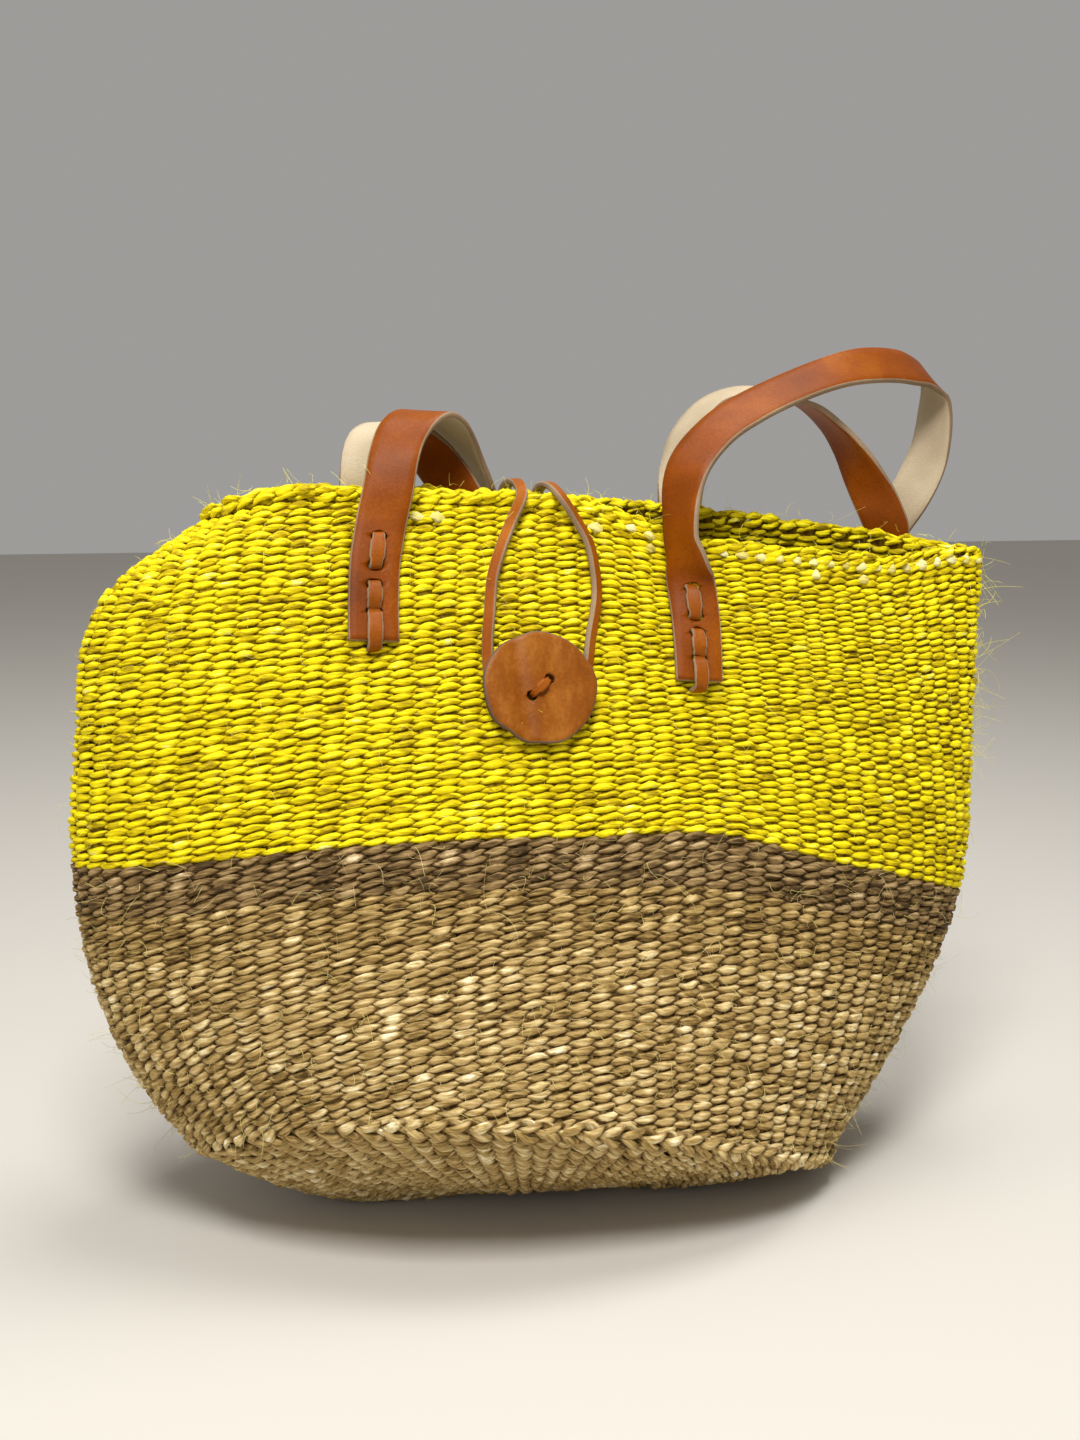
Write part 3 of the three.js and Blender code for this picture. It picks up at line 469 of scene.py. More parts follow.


# Braids: sides, roughness and painted top light of a cord, then for each row its lift, slant and
# step in.
ridgeBraid = {
    "cord": (8, 0.06),
    "rows": ((0.0019, 0.36, 0.0), (-0.0019, -0.36, 0.0)),
    "out": 0.0006,
    "pitch": 0.0038,
    "shift": 0.25,
    "look": {"wobble": 1.2},
}
rimBraid = {
    "cord": (8, 0.1, 0.3),
    "rows": ((0.0014, 0.34, 0.0), (0.0040, 0.22, 0.0004)),
    "out": 0.0003,
    "pitch": 0.0029,
    "shift": 0.2,
    "look": {"wobble": 2.2, "taper": 0.36, "crossShade": 0.55},
}
braidSteps = 8


def braidPiece(name, braid, frames):
    points, along, up, outward = frames
    strands = Strands(*braid["cord"])
    for lift, slant, step in braid["rows"]:
        place = points + up * lift + outward * (braid["out"] - step)
        twineRow(strands, (place, along, up, outward), braid["pitch"], braid["shift"],
                 steps=braidSteps, slant=slant, **braid["look"])
    return strands.build(name)


def ridgePiece():
    shares = evenShares(weave["warps"] * braidSteps)
    _, along, _, wallOut = wallFrames(0.006, shares)
    outward = unit(wallOut + baseFrames(baseWeave["edge"], shares)[3])
    up = unit(np.cross(along, outward))
    frames = (baseFrames(1.0, shares)[0], along, up, outward)
    return braidPiece("ridge_braid", ridgeBraid, frames)


def rimPiece():
    points, along, _, outward = wallFrames(0.9772, evenShares(weave["warps"] * braidSteps))
    outward = unit(outward * np.array([1, 1, 0]))
    return braidPiece("rim_twine", rimBraid, (points, along, np.array([0.0, 0.0, 1.0]), outward))


def warpEnds():
    # Cut ends of the uprights that show between the rows under the rim, mostly to the right.
    strands = Strands(6, roughness=0.12)
    warps = weave["warps"]
    shares = (np.arange(warps) + 0.5) / warps
    t = np.linspace(-0.5, 0.5, 5)
    taper = np.array([0.5, 0.95, 1.1, 0.9, 0.55])
    for level, offset, often in ((0.9755, 0.0004, 0.85), (0.952, 0.0, 0.22)):
        points, along, up, outward = wallFrames(level, shares)
        for k in range(warps):
            isRight = 0.03 < points[k, 0]
            if chance.random() > (often if isRight else 0.03):
                continue
            length = chance.uniform(0.0046, 0.007)
            direction = unit(along[k] + up[k] * chance.uniform(-0.25, 0.25))
            start = points[k] + outward[k] * chance.uniform(-0.0001, 0.0003) + up[k] * offset
            bow = outward[k] * (0.0011 * (2 * t) ** 2)[:, None]
            row = start + direction * (length * t)[:, None] - bow
            size = taper * chance.uniform(0.0014, 0.0022)
            across = unit(np.cross(direction, outward[k]))
            tone = chance.normal(0.1, 0.25)
            strands.add(row, size, size * 0.32, across, outward[k], tone, length * t + k, 0.9)
    return strands.build("warp_ends")


def curvePoints(values, at):
    # Centripetal curve through control points; at runs from 0 to the last index.
    values = np.asarray(values, float)
    count = len(values)
    i = np.clip(np.floor(at).astype(int), 0, count - 2)
    w = (at - i)[:, None]
    padded = np.concatenate([[2 * values[0] - values[1]], values, [2 * values[-1] - values[-2]]])
    p0, p1, p2, p3 = (padded[i + k] for k in range(4))
    pairs = ((p0, p1), (p1, p2), (p2, p3))
    d0, d1, d2 = (np.sqrt(np.linalg.norm(b - a, axis=1))[:, None] for a, b in pairs)
    d1 = np.where(d1 < 1e-4, 1, d1)
    d0 = np.where(d0 < 1e-4, d1, d0)
    d2 = np.where(d2 < 1e-4, d1, d2)
    t1 = ((p1 - p0) / d0 - (p2 - p0) / (d0 + d1) + (p2 - p1) / d1) * d1
    t2 = ((p2 - p1) / d1 - (p3 - p1) / (d1 + d2) + (p3 - p2) / d2) * d1
    c2 = -3 * p1 + 3 * p2 - 2 * t1 - t2
    c3 = 2 * p1 - 2 * p2 + t1 + t2
    return p1 + t1 * w + c2 * w**2 + c3 * w**3


def wallPlace(x, z, side):
    # Point of the wall at a given x and z, with the directions right, up and outward there.
    def at(acrossX, v):
        middle, half = spanAt(v)
        reach = (acrossX - middle) / half
        return wallPoint(np.array([reach]), np.array([v]), np.array([side]))[0]

    low, high = 0.2, 1.0
    for _ in range(40):
        middle = (low + high) / 2
        if at(x, middle)[2] < z:
            low = middle
        else:
            high = middle
    v = min(low, 0.995)
    right = unit(at(x + 0.01, v) - at(x - 0.01, v))
    rough = unit(at(x, v + 0.005) - at(x, v - 0.005))
    out = unit(np.cross(right, rough) * -side)
    return at(x, low), right, unit(np.cross(out, right) * -side), out


def wallShare(x, height, side):
    # The same from shares of the mouth's width and the bag's height.
    return wallPlace(x * mouthWidth, height * bagHeight, side)


strapShape = {
    "width": 0.02,
    "thickness": 0.0025,
    "rounding": 0.0005,
    "seat": 0.0005,
    "twist": 0.003,
    "turnLength": 0.055,
    "slot": (0.0066, 0.0046, 0.01),
}
# Stations of each arch: x, y and height, then the direction across the strap.
frontArch = [
    [-0.192, -0.0402, 0.978, 0.99, -0.15, 0], [-0.184, -0.0345, 1.017, 0.98, -0.22, 0],
    [-0.1757, -0.0238, 1.0578, 0.96, -0.25, 0.05], [-0.1638, -0.01, 1.0884, 0.93, -0.33, -0.1],
    [-0.1462, 0.0063, 1.1082, 0.85, -0.5, -0.12], [-0.1237, 0.025, 1.115, 0.68, -0.73, -0.03],
    [-0.1037, 0.0437, 1.1054, 0.58, -0.81, 0], [-0.0862, 0.0612, 1.085, 0.48, -0.87, -0.05],
    [-0.0688, 0.0737, 1.0561, 0.3, -0.94, -0.14], [-0.0537, 0.0813, 1.0204, 0.2, -0.97, -0.1],
    [-0.0425, 0.1, 0.983, 0.35, -0.93, 0], [-0.03, 0.125, 0.9388, 0.45, -0.89, 0],
    [-0.0075, 0.1425, 0.8912, 0.3, -0.95, 0], [0.035, 0.15, 0.8401, 0.1, -0.99, 0],
    [0.1025, 0.1487, 0.7959, 0, -1, 0], [0.19, 0.1525, 0.7721, 0, -1, 0],
    [0.28, 0.1562, 0.7721, 0, -1, 0], [0.3525, 0.1462, 0.7993, 0.05, -0.99, 0],
    [0.405, 0.1288, 0.8469, 0.25, -0.95, -0.15], [0.4338, 0.1075, 0.9014, 0.4, -0.85, -0.3],
    [0.45, 0.0862, 0.9558, 0.53, -0.7, -0.46], [0.4658, 0.0775, 0.9936, 0.53, -0.71, -0.46],
    [0.4865, 0.0825, 1.0381, 0.53, -0.75, -0.4], [0.4973, 0.085, 1.0766, 0.4, -0.89, -0.24],
    [0.5025, 0.0875, 1.1259, 0.28, -0.95, -0.14], [0.499, 0.085, 1.1599, 0.05, -0.97, -0.22],
    [0.4825, 0.0762, 1.182, -0.3, -0.88, -0.36], [0.4477, 0.065, 1.1948, -0.38, -0.72, -0.58],
    [0.3922, 0.0475, 1.1959, -0.3, -0.7, -0.65], [0.3355, 0.03, 1.1823, -0.14, -0.79, -0.59],
    [0.273, 0.015, 1.1554, -0.06, -0.83, -0.55], [0.2223, 0.0025, 1.1275, 0.08, -0.84, -0.53],
    [0.1825, -0.0125, 1.0993, 0.3, -0.85, -0.43], [0.1492, -0.0262, 1.0619, 0.5, -0.82, -0.28],
    [0.1305, -0.0425, 1.0288, 0.5, -0.86, -0.1], [0.1195, -0.0588, 0.983, 0.32, -0.95, 0],
    [0.117, -0.0668, 0.9438, 0.3, -0.95, 0], [0.1215, -0.072, 0.9133, 0.55, -0.83, 0],
]
backArch = [
    [-0.1933, 0.0315, 1.0204, 1, -0.05, 0], [-0.1888, 0.0362, 1.0578, 0.95, -0.3, 0],
    [-0.1787, 0.0475, 1.0861, 0.83, -0.55, 0.05], [-0.162, 0.0612, 1.0997, 0.7, -0.7, 0.05],
    [-0.1388, 0.0737, 1.0918, 0.72, -0.68, 0], [-0.115, 0.0788, 1.0646, 0.84, -0.54, 0],
    [-0.0945, 0.0775, 1.0306, 0.9, -0.43, 0], [-0.0783, 0.0737, 0.9966, 0.88, -0.47, 0],
    [-0.0612, 0.075, 0.9592, 0.8, -0.6, 0], [-0.0338, 0.0787, 0.9252, 0.75, -0.66, 0],
    [0.005, 0.0862, 0.903, 0.58, -0.81, 0], [0.0525, 0.0925, 0.886, 0.25, -0.97, 0],
    [0.115, 0.1062, 0.8741, 0, -1, 0], [0.2, 0.1087, 0.8707, 0, -1, 0],
    [0.2875, 0.0988, 0.8707, 0, -1, 0], [0.355, 0.0815, 0.8759, 0.15, -0.98, 0],
    [0.3975, 0.0675, 0.8912, 0.5, -0.86, 0], [0.4175, 0.0563, 0.915, 0.75, -0.66, 0],
    [0.4233, 0.0488, 0.9405, 0.85, -0.52, 0], [0.4148, 0.05, 0.9728, 0.85, -0.52, 0.02],
    [0.3972, 0.0575, 1.0218, 0.62, -0.78, 0], [0.3787, 0.065, 1.068, 0.3, -0.95, -0.03],
    [0.3605, 0.07, 1.1007, 0.12, -0.99, -0.05], [0.3325, 0.0725, 1.1316, 0.01, -1, -0.05],
    [0.2953, 0.0725, 1.1493, -0.04, -0.98, -0.17], [0.2485, 0.0688, 1.1527, -0.06, -0.98, -0.17],
    [0.2023, 0.0612, 1.1337, 0.1, -0.99, -0.05], [0.1762, 0.055, 1.0918, 0.4, -0.91, 0.05],
    [0.1673, 0.05, 1.0442, 0.72, -0.69, 0.03], [0.164, 0.0475, 0.9932, 1, -0.06, 0],
]
# Tails: x, height and twist. Laces: the heights of their holes. Bends: a point, a direction
# and how far the bend runs along it. Meeting: the stations of the arch in the left half.
handles = {
    "front": {
        "side": -1,
        "meeting": 16,
        "left_tail": [
            [-0.2115, 0.815, 0], [-0.2085, 0.862, 0], [-0.203, 0.916, 2], [-0.1955, 0.956, 5],
        ],
        "right_tail": [
            [0.1245, 0.7463, 6], [0.1275, 0.7873, 10], [0.129, 0.8305, 16], [0.1275, 0.874, 25],
        ],
        "left_lace": [0.951, 0.913, 0.8885, 0.855, 0.807],
        "right_lace": [0.876, 0.8375, 0.815, 0.7805, 0.7385],
        "arch": frontArch,
        "body": "front_strap",
        "node": "front_handle",
        "left_bend": [(-0.057, 0.0035, 0.3263), (0.08, 1, 0.1), -0.008, 0.008],
        "right_bend": [(0.05, -0.02, 0.295), (0.85, 0.5, 0.1), 0, 0.048],
    },
    "back": {
        "side": 1,
        "meeting": 14,
        "left_tail": [
            [-0.2035, 0.8, 0], [-0.2, 0.858, 0], [-0.1965, 0.915, 0], [-0.1945, 0.968, 0],
        ],
        "right_tail": [
            [0.152, 0.775, 0], [0.156, 0.83, 0], [0.1595, 0.88, 0], [0.1625, 0.935, 0],
        ],
        "left_lace": [0.949, 0.911, 0.8865, 0.848, 0.792],
        "right_lace": [0.918, 0.88, 0.8555, 0.822, 0.767],
        "arch": backArch,
        "body": "back_strap",
        "node": "back_handle",
        "left_bend": [(-0.063, 0.0255, 0.3233), (0.83, 0.55, 0.09), -0.008, 0.008],
        "right_bend": [(0.066, 0.019, 0.3), (0.93, 0.2, 0.3), 0, 0.042],
    },
}


def tailStations(shares, side):
    centres, acrosses = [], []
    for x, height, twist in shares:
        point, right, up, out = wallShare(x, height, side)
        angle = math.radians(twist)
        lift = strapShape["seat"] + strapShape["thickness"] / 2
        lift += math.sin(angle) * (strapShape["width"] / 2 + strapShape["twist"])
        centres.append(point + out * lift)
        acrosses.append(right * math.cos(angle) + out * math.sin(angle))
    return centres, acrosses


def archStations(handle):
    arch = np.array(handle["arch"])
    return arch[:, :3] * np.array([mouthWidth, mouthWidth, bagHeight]), unit(arch[:, 3:])


def strapLine(handle):
    # The whole strap from its left tail to its right one, and where its halves meet.
    left = tailStations(handle["left_tail"], handle["side"])
    right = tailStations(handle["right_tail"], handle["side"])
    arch = archStations(handle)
    centres, acrosses = (np.concatenate([left[k], arch[k], right[k][::-1]]) for k in (0, 1))
    return centres, acrosses, len(left[0]) + handle["meeting"] + 0.5


def turned(vectors, axes, angles):
    c = np.cos(angles)[:, None]
    s = np.sin(angles)[:, None]
    dots = np.sum(vectors * axes, axis=1)[:, None]
    return vectors * c + np.cross(axes, vectors) * s + axes * dots * (1 - c)


def bandOutline(shape):
    # Outline of a leather band: across, depth and material, 0 grain, 1 suede and 2 edge.
    w, t, r = shape["width"] / 2, shape["thickness"] / 2, shape["rounding"]
    top = [(w - r) * k for k in np.linspace(-1, 1, 7)]
    outline = [(-w, t * 0.55, 2), (-w * 1.004, 0, 2), (-w, -t + r, 2)]
    outline += [(a, -t, 0) for a in top]
    outline += [(w, -t + r, 2), (w * 1.004, 0, 2), (w, t * 0.55, 2)]
    outline += [(a, t, 1) for a in np.array(top[::-1]) * (w - r * 0.4) / (w - r)]
    return outline


def bandMesh(name, centres, acrosses, shape, grainSign, widths=1.0):
    along = directionsOf(centres)
    across = unit(acrosses - along * np.sum(acrosses * along, axis=1)[:, None])
    outward = np.cross(along, across) * -grainSign
    a, b, kind = np.array(bandOutline(shape)).T
    count, width = len(centres), len(kind)
    sides = np.multiply.outer(np.broadcast_to(widths, count), a)[..., None]
    rows = centres[:, None] + across[:, None] * sides + outward[:, None] * b[None, :, None]
    kinds = [*np.tile(np.maximum(kind, np.roll(kind, -1)), count - 1), 2, 2]
    faces = [tuple(quad) for quad in ringQuads(count, width)]
    faces += [tuple(range(width))[::-1], tuple(range((count - 1) * width, count * width))]
    if grainSign > 0:
        faces = [face[::-1] for face in faces]
    return solidMesh(name, rows.reshape(-1, 3), faces, kinds)


def cutSlots(thing, places, size):
    # Cuts slots with round plugs, each given by its centre, across and outward.
    work = bmesh.new()
    for centre, across, outward in places:
        right, out = Vector(across), Vector(outward)
        turn = Matrix((right, out.cross(right), out)).transposed().to_4x4()
        plug = bmesh.ops.create_cone(
            work, cap_ends=True, segments=20, radius1=0.5, radius2=0.5, depth=1)
        place = Matrix.Translation(Vector(centre)) @ turn @ Matrix.Diagonal((*size, 1))
        bmesh.ops.transform(work, verts=plug["verts"], matrix=place)
    bmesh.ops.recalc_face_normals(work, faces=work.faces)
    mesh = bpy.data.meshes.new("cutter")
    work.to_mesh(mesh)
    work.free()
    cutter = addObject("cutter", mesh)
    bpy.ops.object.select_all(action="DESELECT")
    modifier = thing.modifiers.new("slots", "BOOLEAN")
    modifier.operation = "DIFFERENCE"
    modifier.solver = "EXACT"
    modifier.object = cutter
    modifier.material_mode = "INDEX"
    bpy.context.view_layer.objects.active = thing
    thing.select_set(True)
    bpy.ops.object.modifier_apply(modifier=modifier.name)
    bpy.data.objects.remove(cutter)


laceShape = {
    "width": 0.006,
    "thickness": 0.0018,
    "rounding": 0.0006,
    "clearance": 0.0005,
    "wall": 0.0054,
    "tail": 0.006,
    "bend": 0.0028,
}


def tailPlace(handle, corner, height):
    # Place of a lace hole at a given height of a strap's tail.
    centres, acrosses = tailStations(handle[f"{corner}_tail"], handle["side"])
    beyond = slice(0, 2) if corner == "left" else slice(-1, -3, -1)
    archCentres, archAcross = archStations(handle)
    centres = np.concatenate([centres, archCentres[beyond]])
    acrosses = np.concatenate([acrosses, archAcross[beyond]])
    z = height * bagHeight
    fine = np.linspace(0, len(centres) - 1, 801)
    line = curvePoints(centres, fine)
    k = int(np.clip(np.searchsorted(line[:, 2], z), 1, 799))
    along = unit(line[k + 1] - line[k - 1])
    centre = line[k] + along * (z - line[k][2]) / along[2]
    across = unit(curvePoints(acrosses, fine[k:k + 1])[0])
    out = unit(np.cross(across, along) * -handle["side"])
    point, wallRight, wallUp, wallOut = wallPlace(centre[0], z, handle["side"])
    half = laceShape["thickness"] / 2
    return {
        "centre": centre,
        "outer": centre + out * (strapShape["thickness"] / 2 + laceShape["clearance"] + half),
        "dip": centre + out * half,
        "across": across,
        "out": out,
        "inner": point - wallOut * (laceShape["wall"] + half),
        "innerAcross": wallRight,
        "up": wallUp,
    }


def roundedLine(corners, bend, fine=5):
    # Line through corners of place, across and width, with each corner but the ends rounded.
    line = [corners[0]]
    for before, here, after in zip(corners[:-2], corners[1:-1], corners[2:]):
        point, across, width = here
        ends = []
        for other in (before[0], after[0]):
            away = other - point
            length = np.linalg.norm(away)
            ends.append(point + away / length * min(bend, length * 0.48))
        for t in np.linspace(0, 1, fine):
            place = (1 - t) ** 2 * ends[0] + 2 * t * (1 - t) * point + t * t * ends[1]
            line.append((place, across, width))
    line.append(corners[-1])
    return [np.array([step[k] for step in line]) for k in range(3)]


def lacePath(handle, corner):
    # From a tail inside the wall, out and in through the holes, to the other tail.
    heights = handle[f"{corner}_lace"]
    first, second, third, fourth, fifth = [tailPlace(handle, corner, h) for h in heights]
    tail, edge = laceShape["tail"], laceShape["thickness"] * 1.2

    def outside(place, width, rise=0.0, bulge=0.0):
        point = place["outer"] + place["up"] * rise + place["out"] * bulge
        return point, place["across"], width

    def inside(place, rise=0.0):
        return place["inner"] + place["up"] * rise, place["innerAcross"], 0.8

    def between(k, share, bulge):
        height = heights[k] + (heights[k + 1] - heights[k]) * share
        return outside(tailPlace(handle, corner, height), 1.04, 0.0, bulge)

    return roundedLine([
        inside(first, tail),
        inside(first),
        outside(first, 0.84, 0.0011),
        between(0, 0.5, 0.0009),
        outside(second, 0.84, -0.0011),
        inside(second),
        inside(third),
        outside(third, 0.84, 0.001),
        between(2, 0.5, 0.001),
        outside(fourth, 0.95, edge),
        (fourth["dip"] - fourth["out"] * 0.0003, fourth["across"], 0.8),
        outside(fourth, 0.98, -edge, 0.0006),
        between(3, 0.6, 0.0016),
        outside(fifth, 0.95),
        inside(fifth),
        inside(fifth, -tail),
    ], laceShape["bend"])


class Socket:
    # Shader maths on node sockets.
    def __init__(self, tree, source):
        self.tree = tree
        self.source = source

    def put(self, target):
        if isinstance(self.source, bpy.types.NodeSocket):
            self.tree.links.new(self.source, target)
        else:
            target.default_value = self.source

    def math(self, operation, *others):
        node = self.tree.nodes.new("ShaderNodeMath")
        node.operation = operation
        for target, value in zip(node.inputs, (self, *others)):
            asSocket(self.tree, value).put(target)
        return Socket(self.tree, node.outputs[0])

    def __add__(self, other):
        return self.math("ADD", other)

    def __radd__(self, other):
        return asSocket(self.tree, other).math("ADD", self)

    def __sub__(self, other):
        return self.math("SUBTRACT", other)

    def __rsub__(self, other):
        return asSocket(self.tree, other).math("SUBTRACT", self)

    def __mul__(self, other):
        return self.math("MULTIPLY", other)

    def __rmul__(self, other):
        return asSocket(self.tree, other).math("MULTIPLY", self)

    def span(self, low, high):
        node = self.tree.nodes.new("ShaderNodeMapRange")
        node.interpolation_type = "SMOOTHSTEP"
        self.put(node.inputs["Value"])
        node.inputs["From Min"].default_value = low
        node.inputs["From Max"].default_value = high
        return Socket(self.tree, node.outputs[0])


def asSocket(tree, value):
    return value if isinstance(value, Socket) else Socket(tree, value)


class Shader:
    # One material and the nodes that feed its surface.
    def __init__(self, name):
        self.material = bpy.data.materials.new(name)
        self.material.use_nodes = True
        self.tree = self.material.node_tree
        self.surface = self.tree.nodes["Principled BSDF"]

    def node(self, kind, output=0, settings=None, **inputs):
        node = self.tree.nodes.new(kind)
        for key, value in (settings or {}).items():
            setattr(node, key, value)
        for key, value in inputs.items():
            place = int(key) if key.isdigit() else key.replace("_", " ")
            asSocket(self.tree, value).put(node.inputs[place])
        return Socket(self.tree, node.outputs[output])

    def attribute(self, name, output):
        return self.node("ShaderNodeAttribute", output, {"attribute_name": name})

    def place(self):
        return self.node("ShaderNodeTexCoord", "Object")

    def scaled(self, vector, size):
        settings = {"operation": "MULTIPLY"}
        return self.node("ShaderNodeVectorMath", 0, settings, **{"0": vector, "1": size})

    def noise(self, vector, scale, detail=3.0):
        return self.node("ShaderNodeTexNoise", Vector=vector, Scale=scale, Detail=detail)

    def mix(self, factor, first, second):
        inputs = {"0": factor, "6": first, "7": second}
        return self.node("ShaderNodeMix", 2, {"data_type": "RGBA"}, **inputs)

    def ramp(self, factor, stops):
        node = self.tree.nodes.new("ShaderNodeValToRGB")
        factor.put(node.inputs[0])
        while len(node.color_ramp.elements) < len(stops):
            node.color_ramp.elements.new(0.5)
        for element, (position, colour) in zip(node.color_ramp.elements, stops):
            element.position = position
            element.color = colour
        return Socket(self.tree, node.outputs[0])

    def bump(self, height, strength, distance):
        inputs = {"Height": height, "Strength": strength, "Distance": distance}
        return self.node("ShaderNodeBump", **inputs)

    def set(self, **inputs):
        for key, value in inputs.items():
            asSocket(self.tree, value).put(self.surface.inputs[key.replace("_", " ")])
        return self.material


def colour(text, alpha=1.0):
    channels = [int(text[i:i + 2], 16) / 255 for i in (0, 2, 4)]
    linear = [c / 12.92 if c <= 0.04045 else ((c + 0.055) / 1.055) ** 2.4 for c in channels]
    return (*linear, alpha)


def stopsOf(places, colours):
    return [(place, colour(text)) for place, text in zip(places, colours.split())]


def yarnMaterial(name, stops, roughness, streak):
    # Fibres run along the yarn, and its hidden parts get painted shade, darker and browner, by
    # the share of painted light in its lay attribute.
    shader = Shader(name)
    parts = shader.tree.nodes.new("ShaderNodeSeparateXYZ")
    shader.attribute("lay", "Vector").put(parts.inputs[0])
    along, around, paintedLight = [Socket(shader.tree, parts.outputs[i]) for i in range(3)]
    tone = shader.attribute("tone", "Fac")
    across = around * 8 + along * 150
    fibreAt = shader.node("ShaderNodeCombineXYZ", X=along * 130, Y=across, Z=tone * 3)
    fibre = shader.noise(fibreAt, 1.0, 2.5)
    patch = shader.noise(shader.place(), 60.0, 2.0)
    value = 0.5 + tone * 0.55 + (fibre - 0.5) * streak + (patch - 0.5) * 0.4
    # Painted shade: the ramp darkened and browned, for the parts of the yarn out of the light.
    shadedStops = [(at, (k[0] * 0.3, k[1] * 0.24, k[2] * 0.16, 1)) for at, k in stops]
    lit = shader.ramp(value, stops)
    return shader.set(
        Base_Color=shader.mix(paintedLight.span(0.05, 1.0), shader.ramp(value, shadedStops), lit),
        Roughness=roughness,
        Specular_IOR_Level=0.16,
        Normal=shader.bump(fibre, 0.8, 0.0009),
    )


tanStops = (0.0, 0.3, 0.6, 0.85, 1.0)
yarns = {
    "yellow": yarnMaterial("yellow_yarn", stopsOf(
        (0.0, 0.3, 0.58, 0.88, 1.0), "7a6000 c2aa00 ead600 f2e52a f5ee8c"), 0.7, 1.4),
    "tan": yarnMaterial("tan_yarn", stopsOf(
        tanStops, "4a3616 90743f bda168 dfcb98 f2e8c6"), 0.72, 1.5),
    "dark": yarnMaterial("dark_yarn", stopsOf(
        tanStops, "44321a 82683e ac9166 d2bd92 ece0c2"), 0.72, 1.5),
}


def dress(thing, material):
    thing.data.materials.append(material)
    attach(thing, "bag")


woven = wallPieces()
for name, thing in woven.items():
    kind = weave["pieces"][name][2]
    dress(thing, yarns[kind])
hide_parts("upper_wall")
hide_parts("lower_wall")
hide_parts("dark_band")
lowerWarps = warpPiece("lower_warps", weave["wallStart"], weave["bandTop"])
dress(lowerWarps, yarns["tan"])
dress(warpPiece("upper_warps", weave["bandTop"], 0.991), yarns["yellow"])


def leatherMaterial(name, colours, roughness, grainSize, depth, coat=0.0, crease=0.0):
    shader = Shader(name)
    place = shader.place()
    broad = shader.noise(place, 28.0, 3.0)
    fine = shader.noise(place, grainSize, 2.0)
    value = 0.5 + (broad - 0.5) * 0.9 + (fine - 0.5) * 0.25
    if crease:
        folds = shader.noise(shader.scaled(place, (1.0, 1.0, 0.16)), 190.0, 2.0)
        value = value + (folds - 0.5) * crease
    return shader.set(
        Base_Color=shader.ramp(value, stopsOf((0.2, 0.5, 0.8), colours)),
        Roughness=roughness,
        Specular_IOR_Level=0.11,
        Coat_Weight=coat,
        Coat_Roughness=0.4,
        Normal=shader.bump(fine, depth, 0.0004),
    )


hides = {
    "grain": leatherMaterial("strap_grain", "5a2702 7e3c03 9e580f", 0.44, 900.0, 0.22),
    "suede": leatherMaterial("strap_suede", "97866c b09f84 c8b99c", 0.9, 1400.0, 0.5),
    "edge": leatherMaterial("strap_edge", "6c5844 8e765c ae977c", 0.85, 1600.0, 0.6),
    "rind": leatherMaterial("button_edge", "3f2d22 64513f 83705c", 0.85, 1600.0, 0.6),
    "lace": leatherMaterial("lace_grain", "663004 8a4709 a8641a", 0.42, 900.0, 0.25),
    "button": leatherMaterial(
        "button_grain", "5a2c05 80450b a06424", 0.4, 700.0, 0.3, coat=0.04, crease=0.45),
}


def dressLeather(thing, grain, edge="edge"):
    for material in (grain, hides["suede"], hides[edge]):
        thing.data.materials.append(material)


def strapHalf(name, handle, corner):
    # From the tail to the middle behind the bag, where the strap has turned by a quarter.
    sign = 1 if corner == "left" else -1
    centres, acrosses, split = strapLine(handle)
    start, end = (0, split) if sign > 0 else (split, len(centres) - 1)
    at = np.linspace(start, end, int((end - start) * 7))
    points = curvePoints(centres, at)
    lengths = lengthsOf(points)
    fromMeeting = lengths[-1] - lengths if sign > 0 else lengths
    angle = (1 - easeBetween(0, strapShape["turnLength"], fromMeeting)) * np.pi / 2 * sign
    across = turned(unit(curvePoints(acrosses, at)), directionsOf(points), angle)
    piece = bandMesh(f"{name}_{corner}_strap", points, across, strapShape, sign * handle["side"])
    places = []
    for height in handle[f"{corner}_lace"][:4]:
        place = tailPlace(handle, corner, height)
        places.append((place["centre"], unit(place["across"]), place["out"]))
    cutSlots(piece, places, strapShape["slot"])
    dressLeather(piece, hides["grain"])
    point, direction, low, high = handle[f"{corner}_bend"]
    direction = unit(np.array(direction, float))
    low, high = (tuple(point + direction * reach) for reach in (low, high))
    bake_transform(piece)
    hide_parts(handle["node"], f"{name}_{corner}_strap_end")


def strapLace(name, handle, corner):
    line, across, widths = lacePath(handle, corner)
    lace = bandMesh(f"{name}_{corner}_stitches", line, across, laceShape, -handle["side"], widths)
    dressLeather(lace, hides["lace"])
    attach(lace, "bag")
    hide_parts(f"{name}_{corner}_lace")


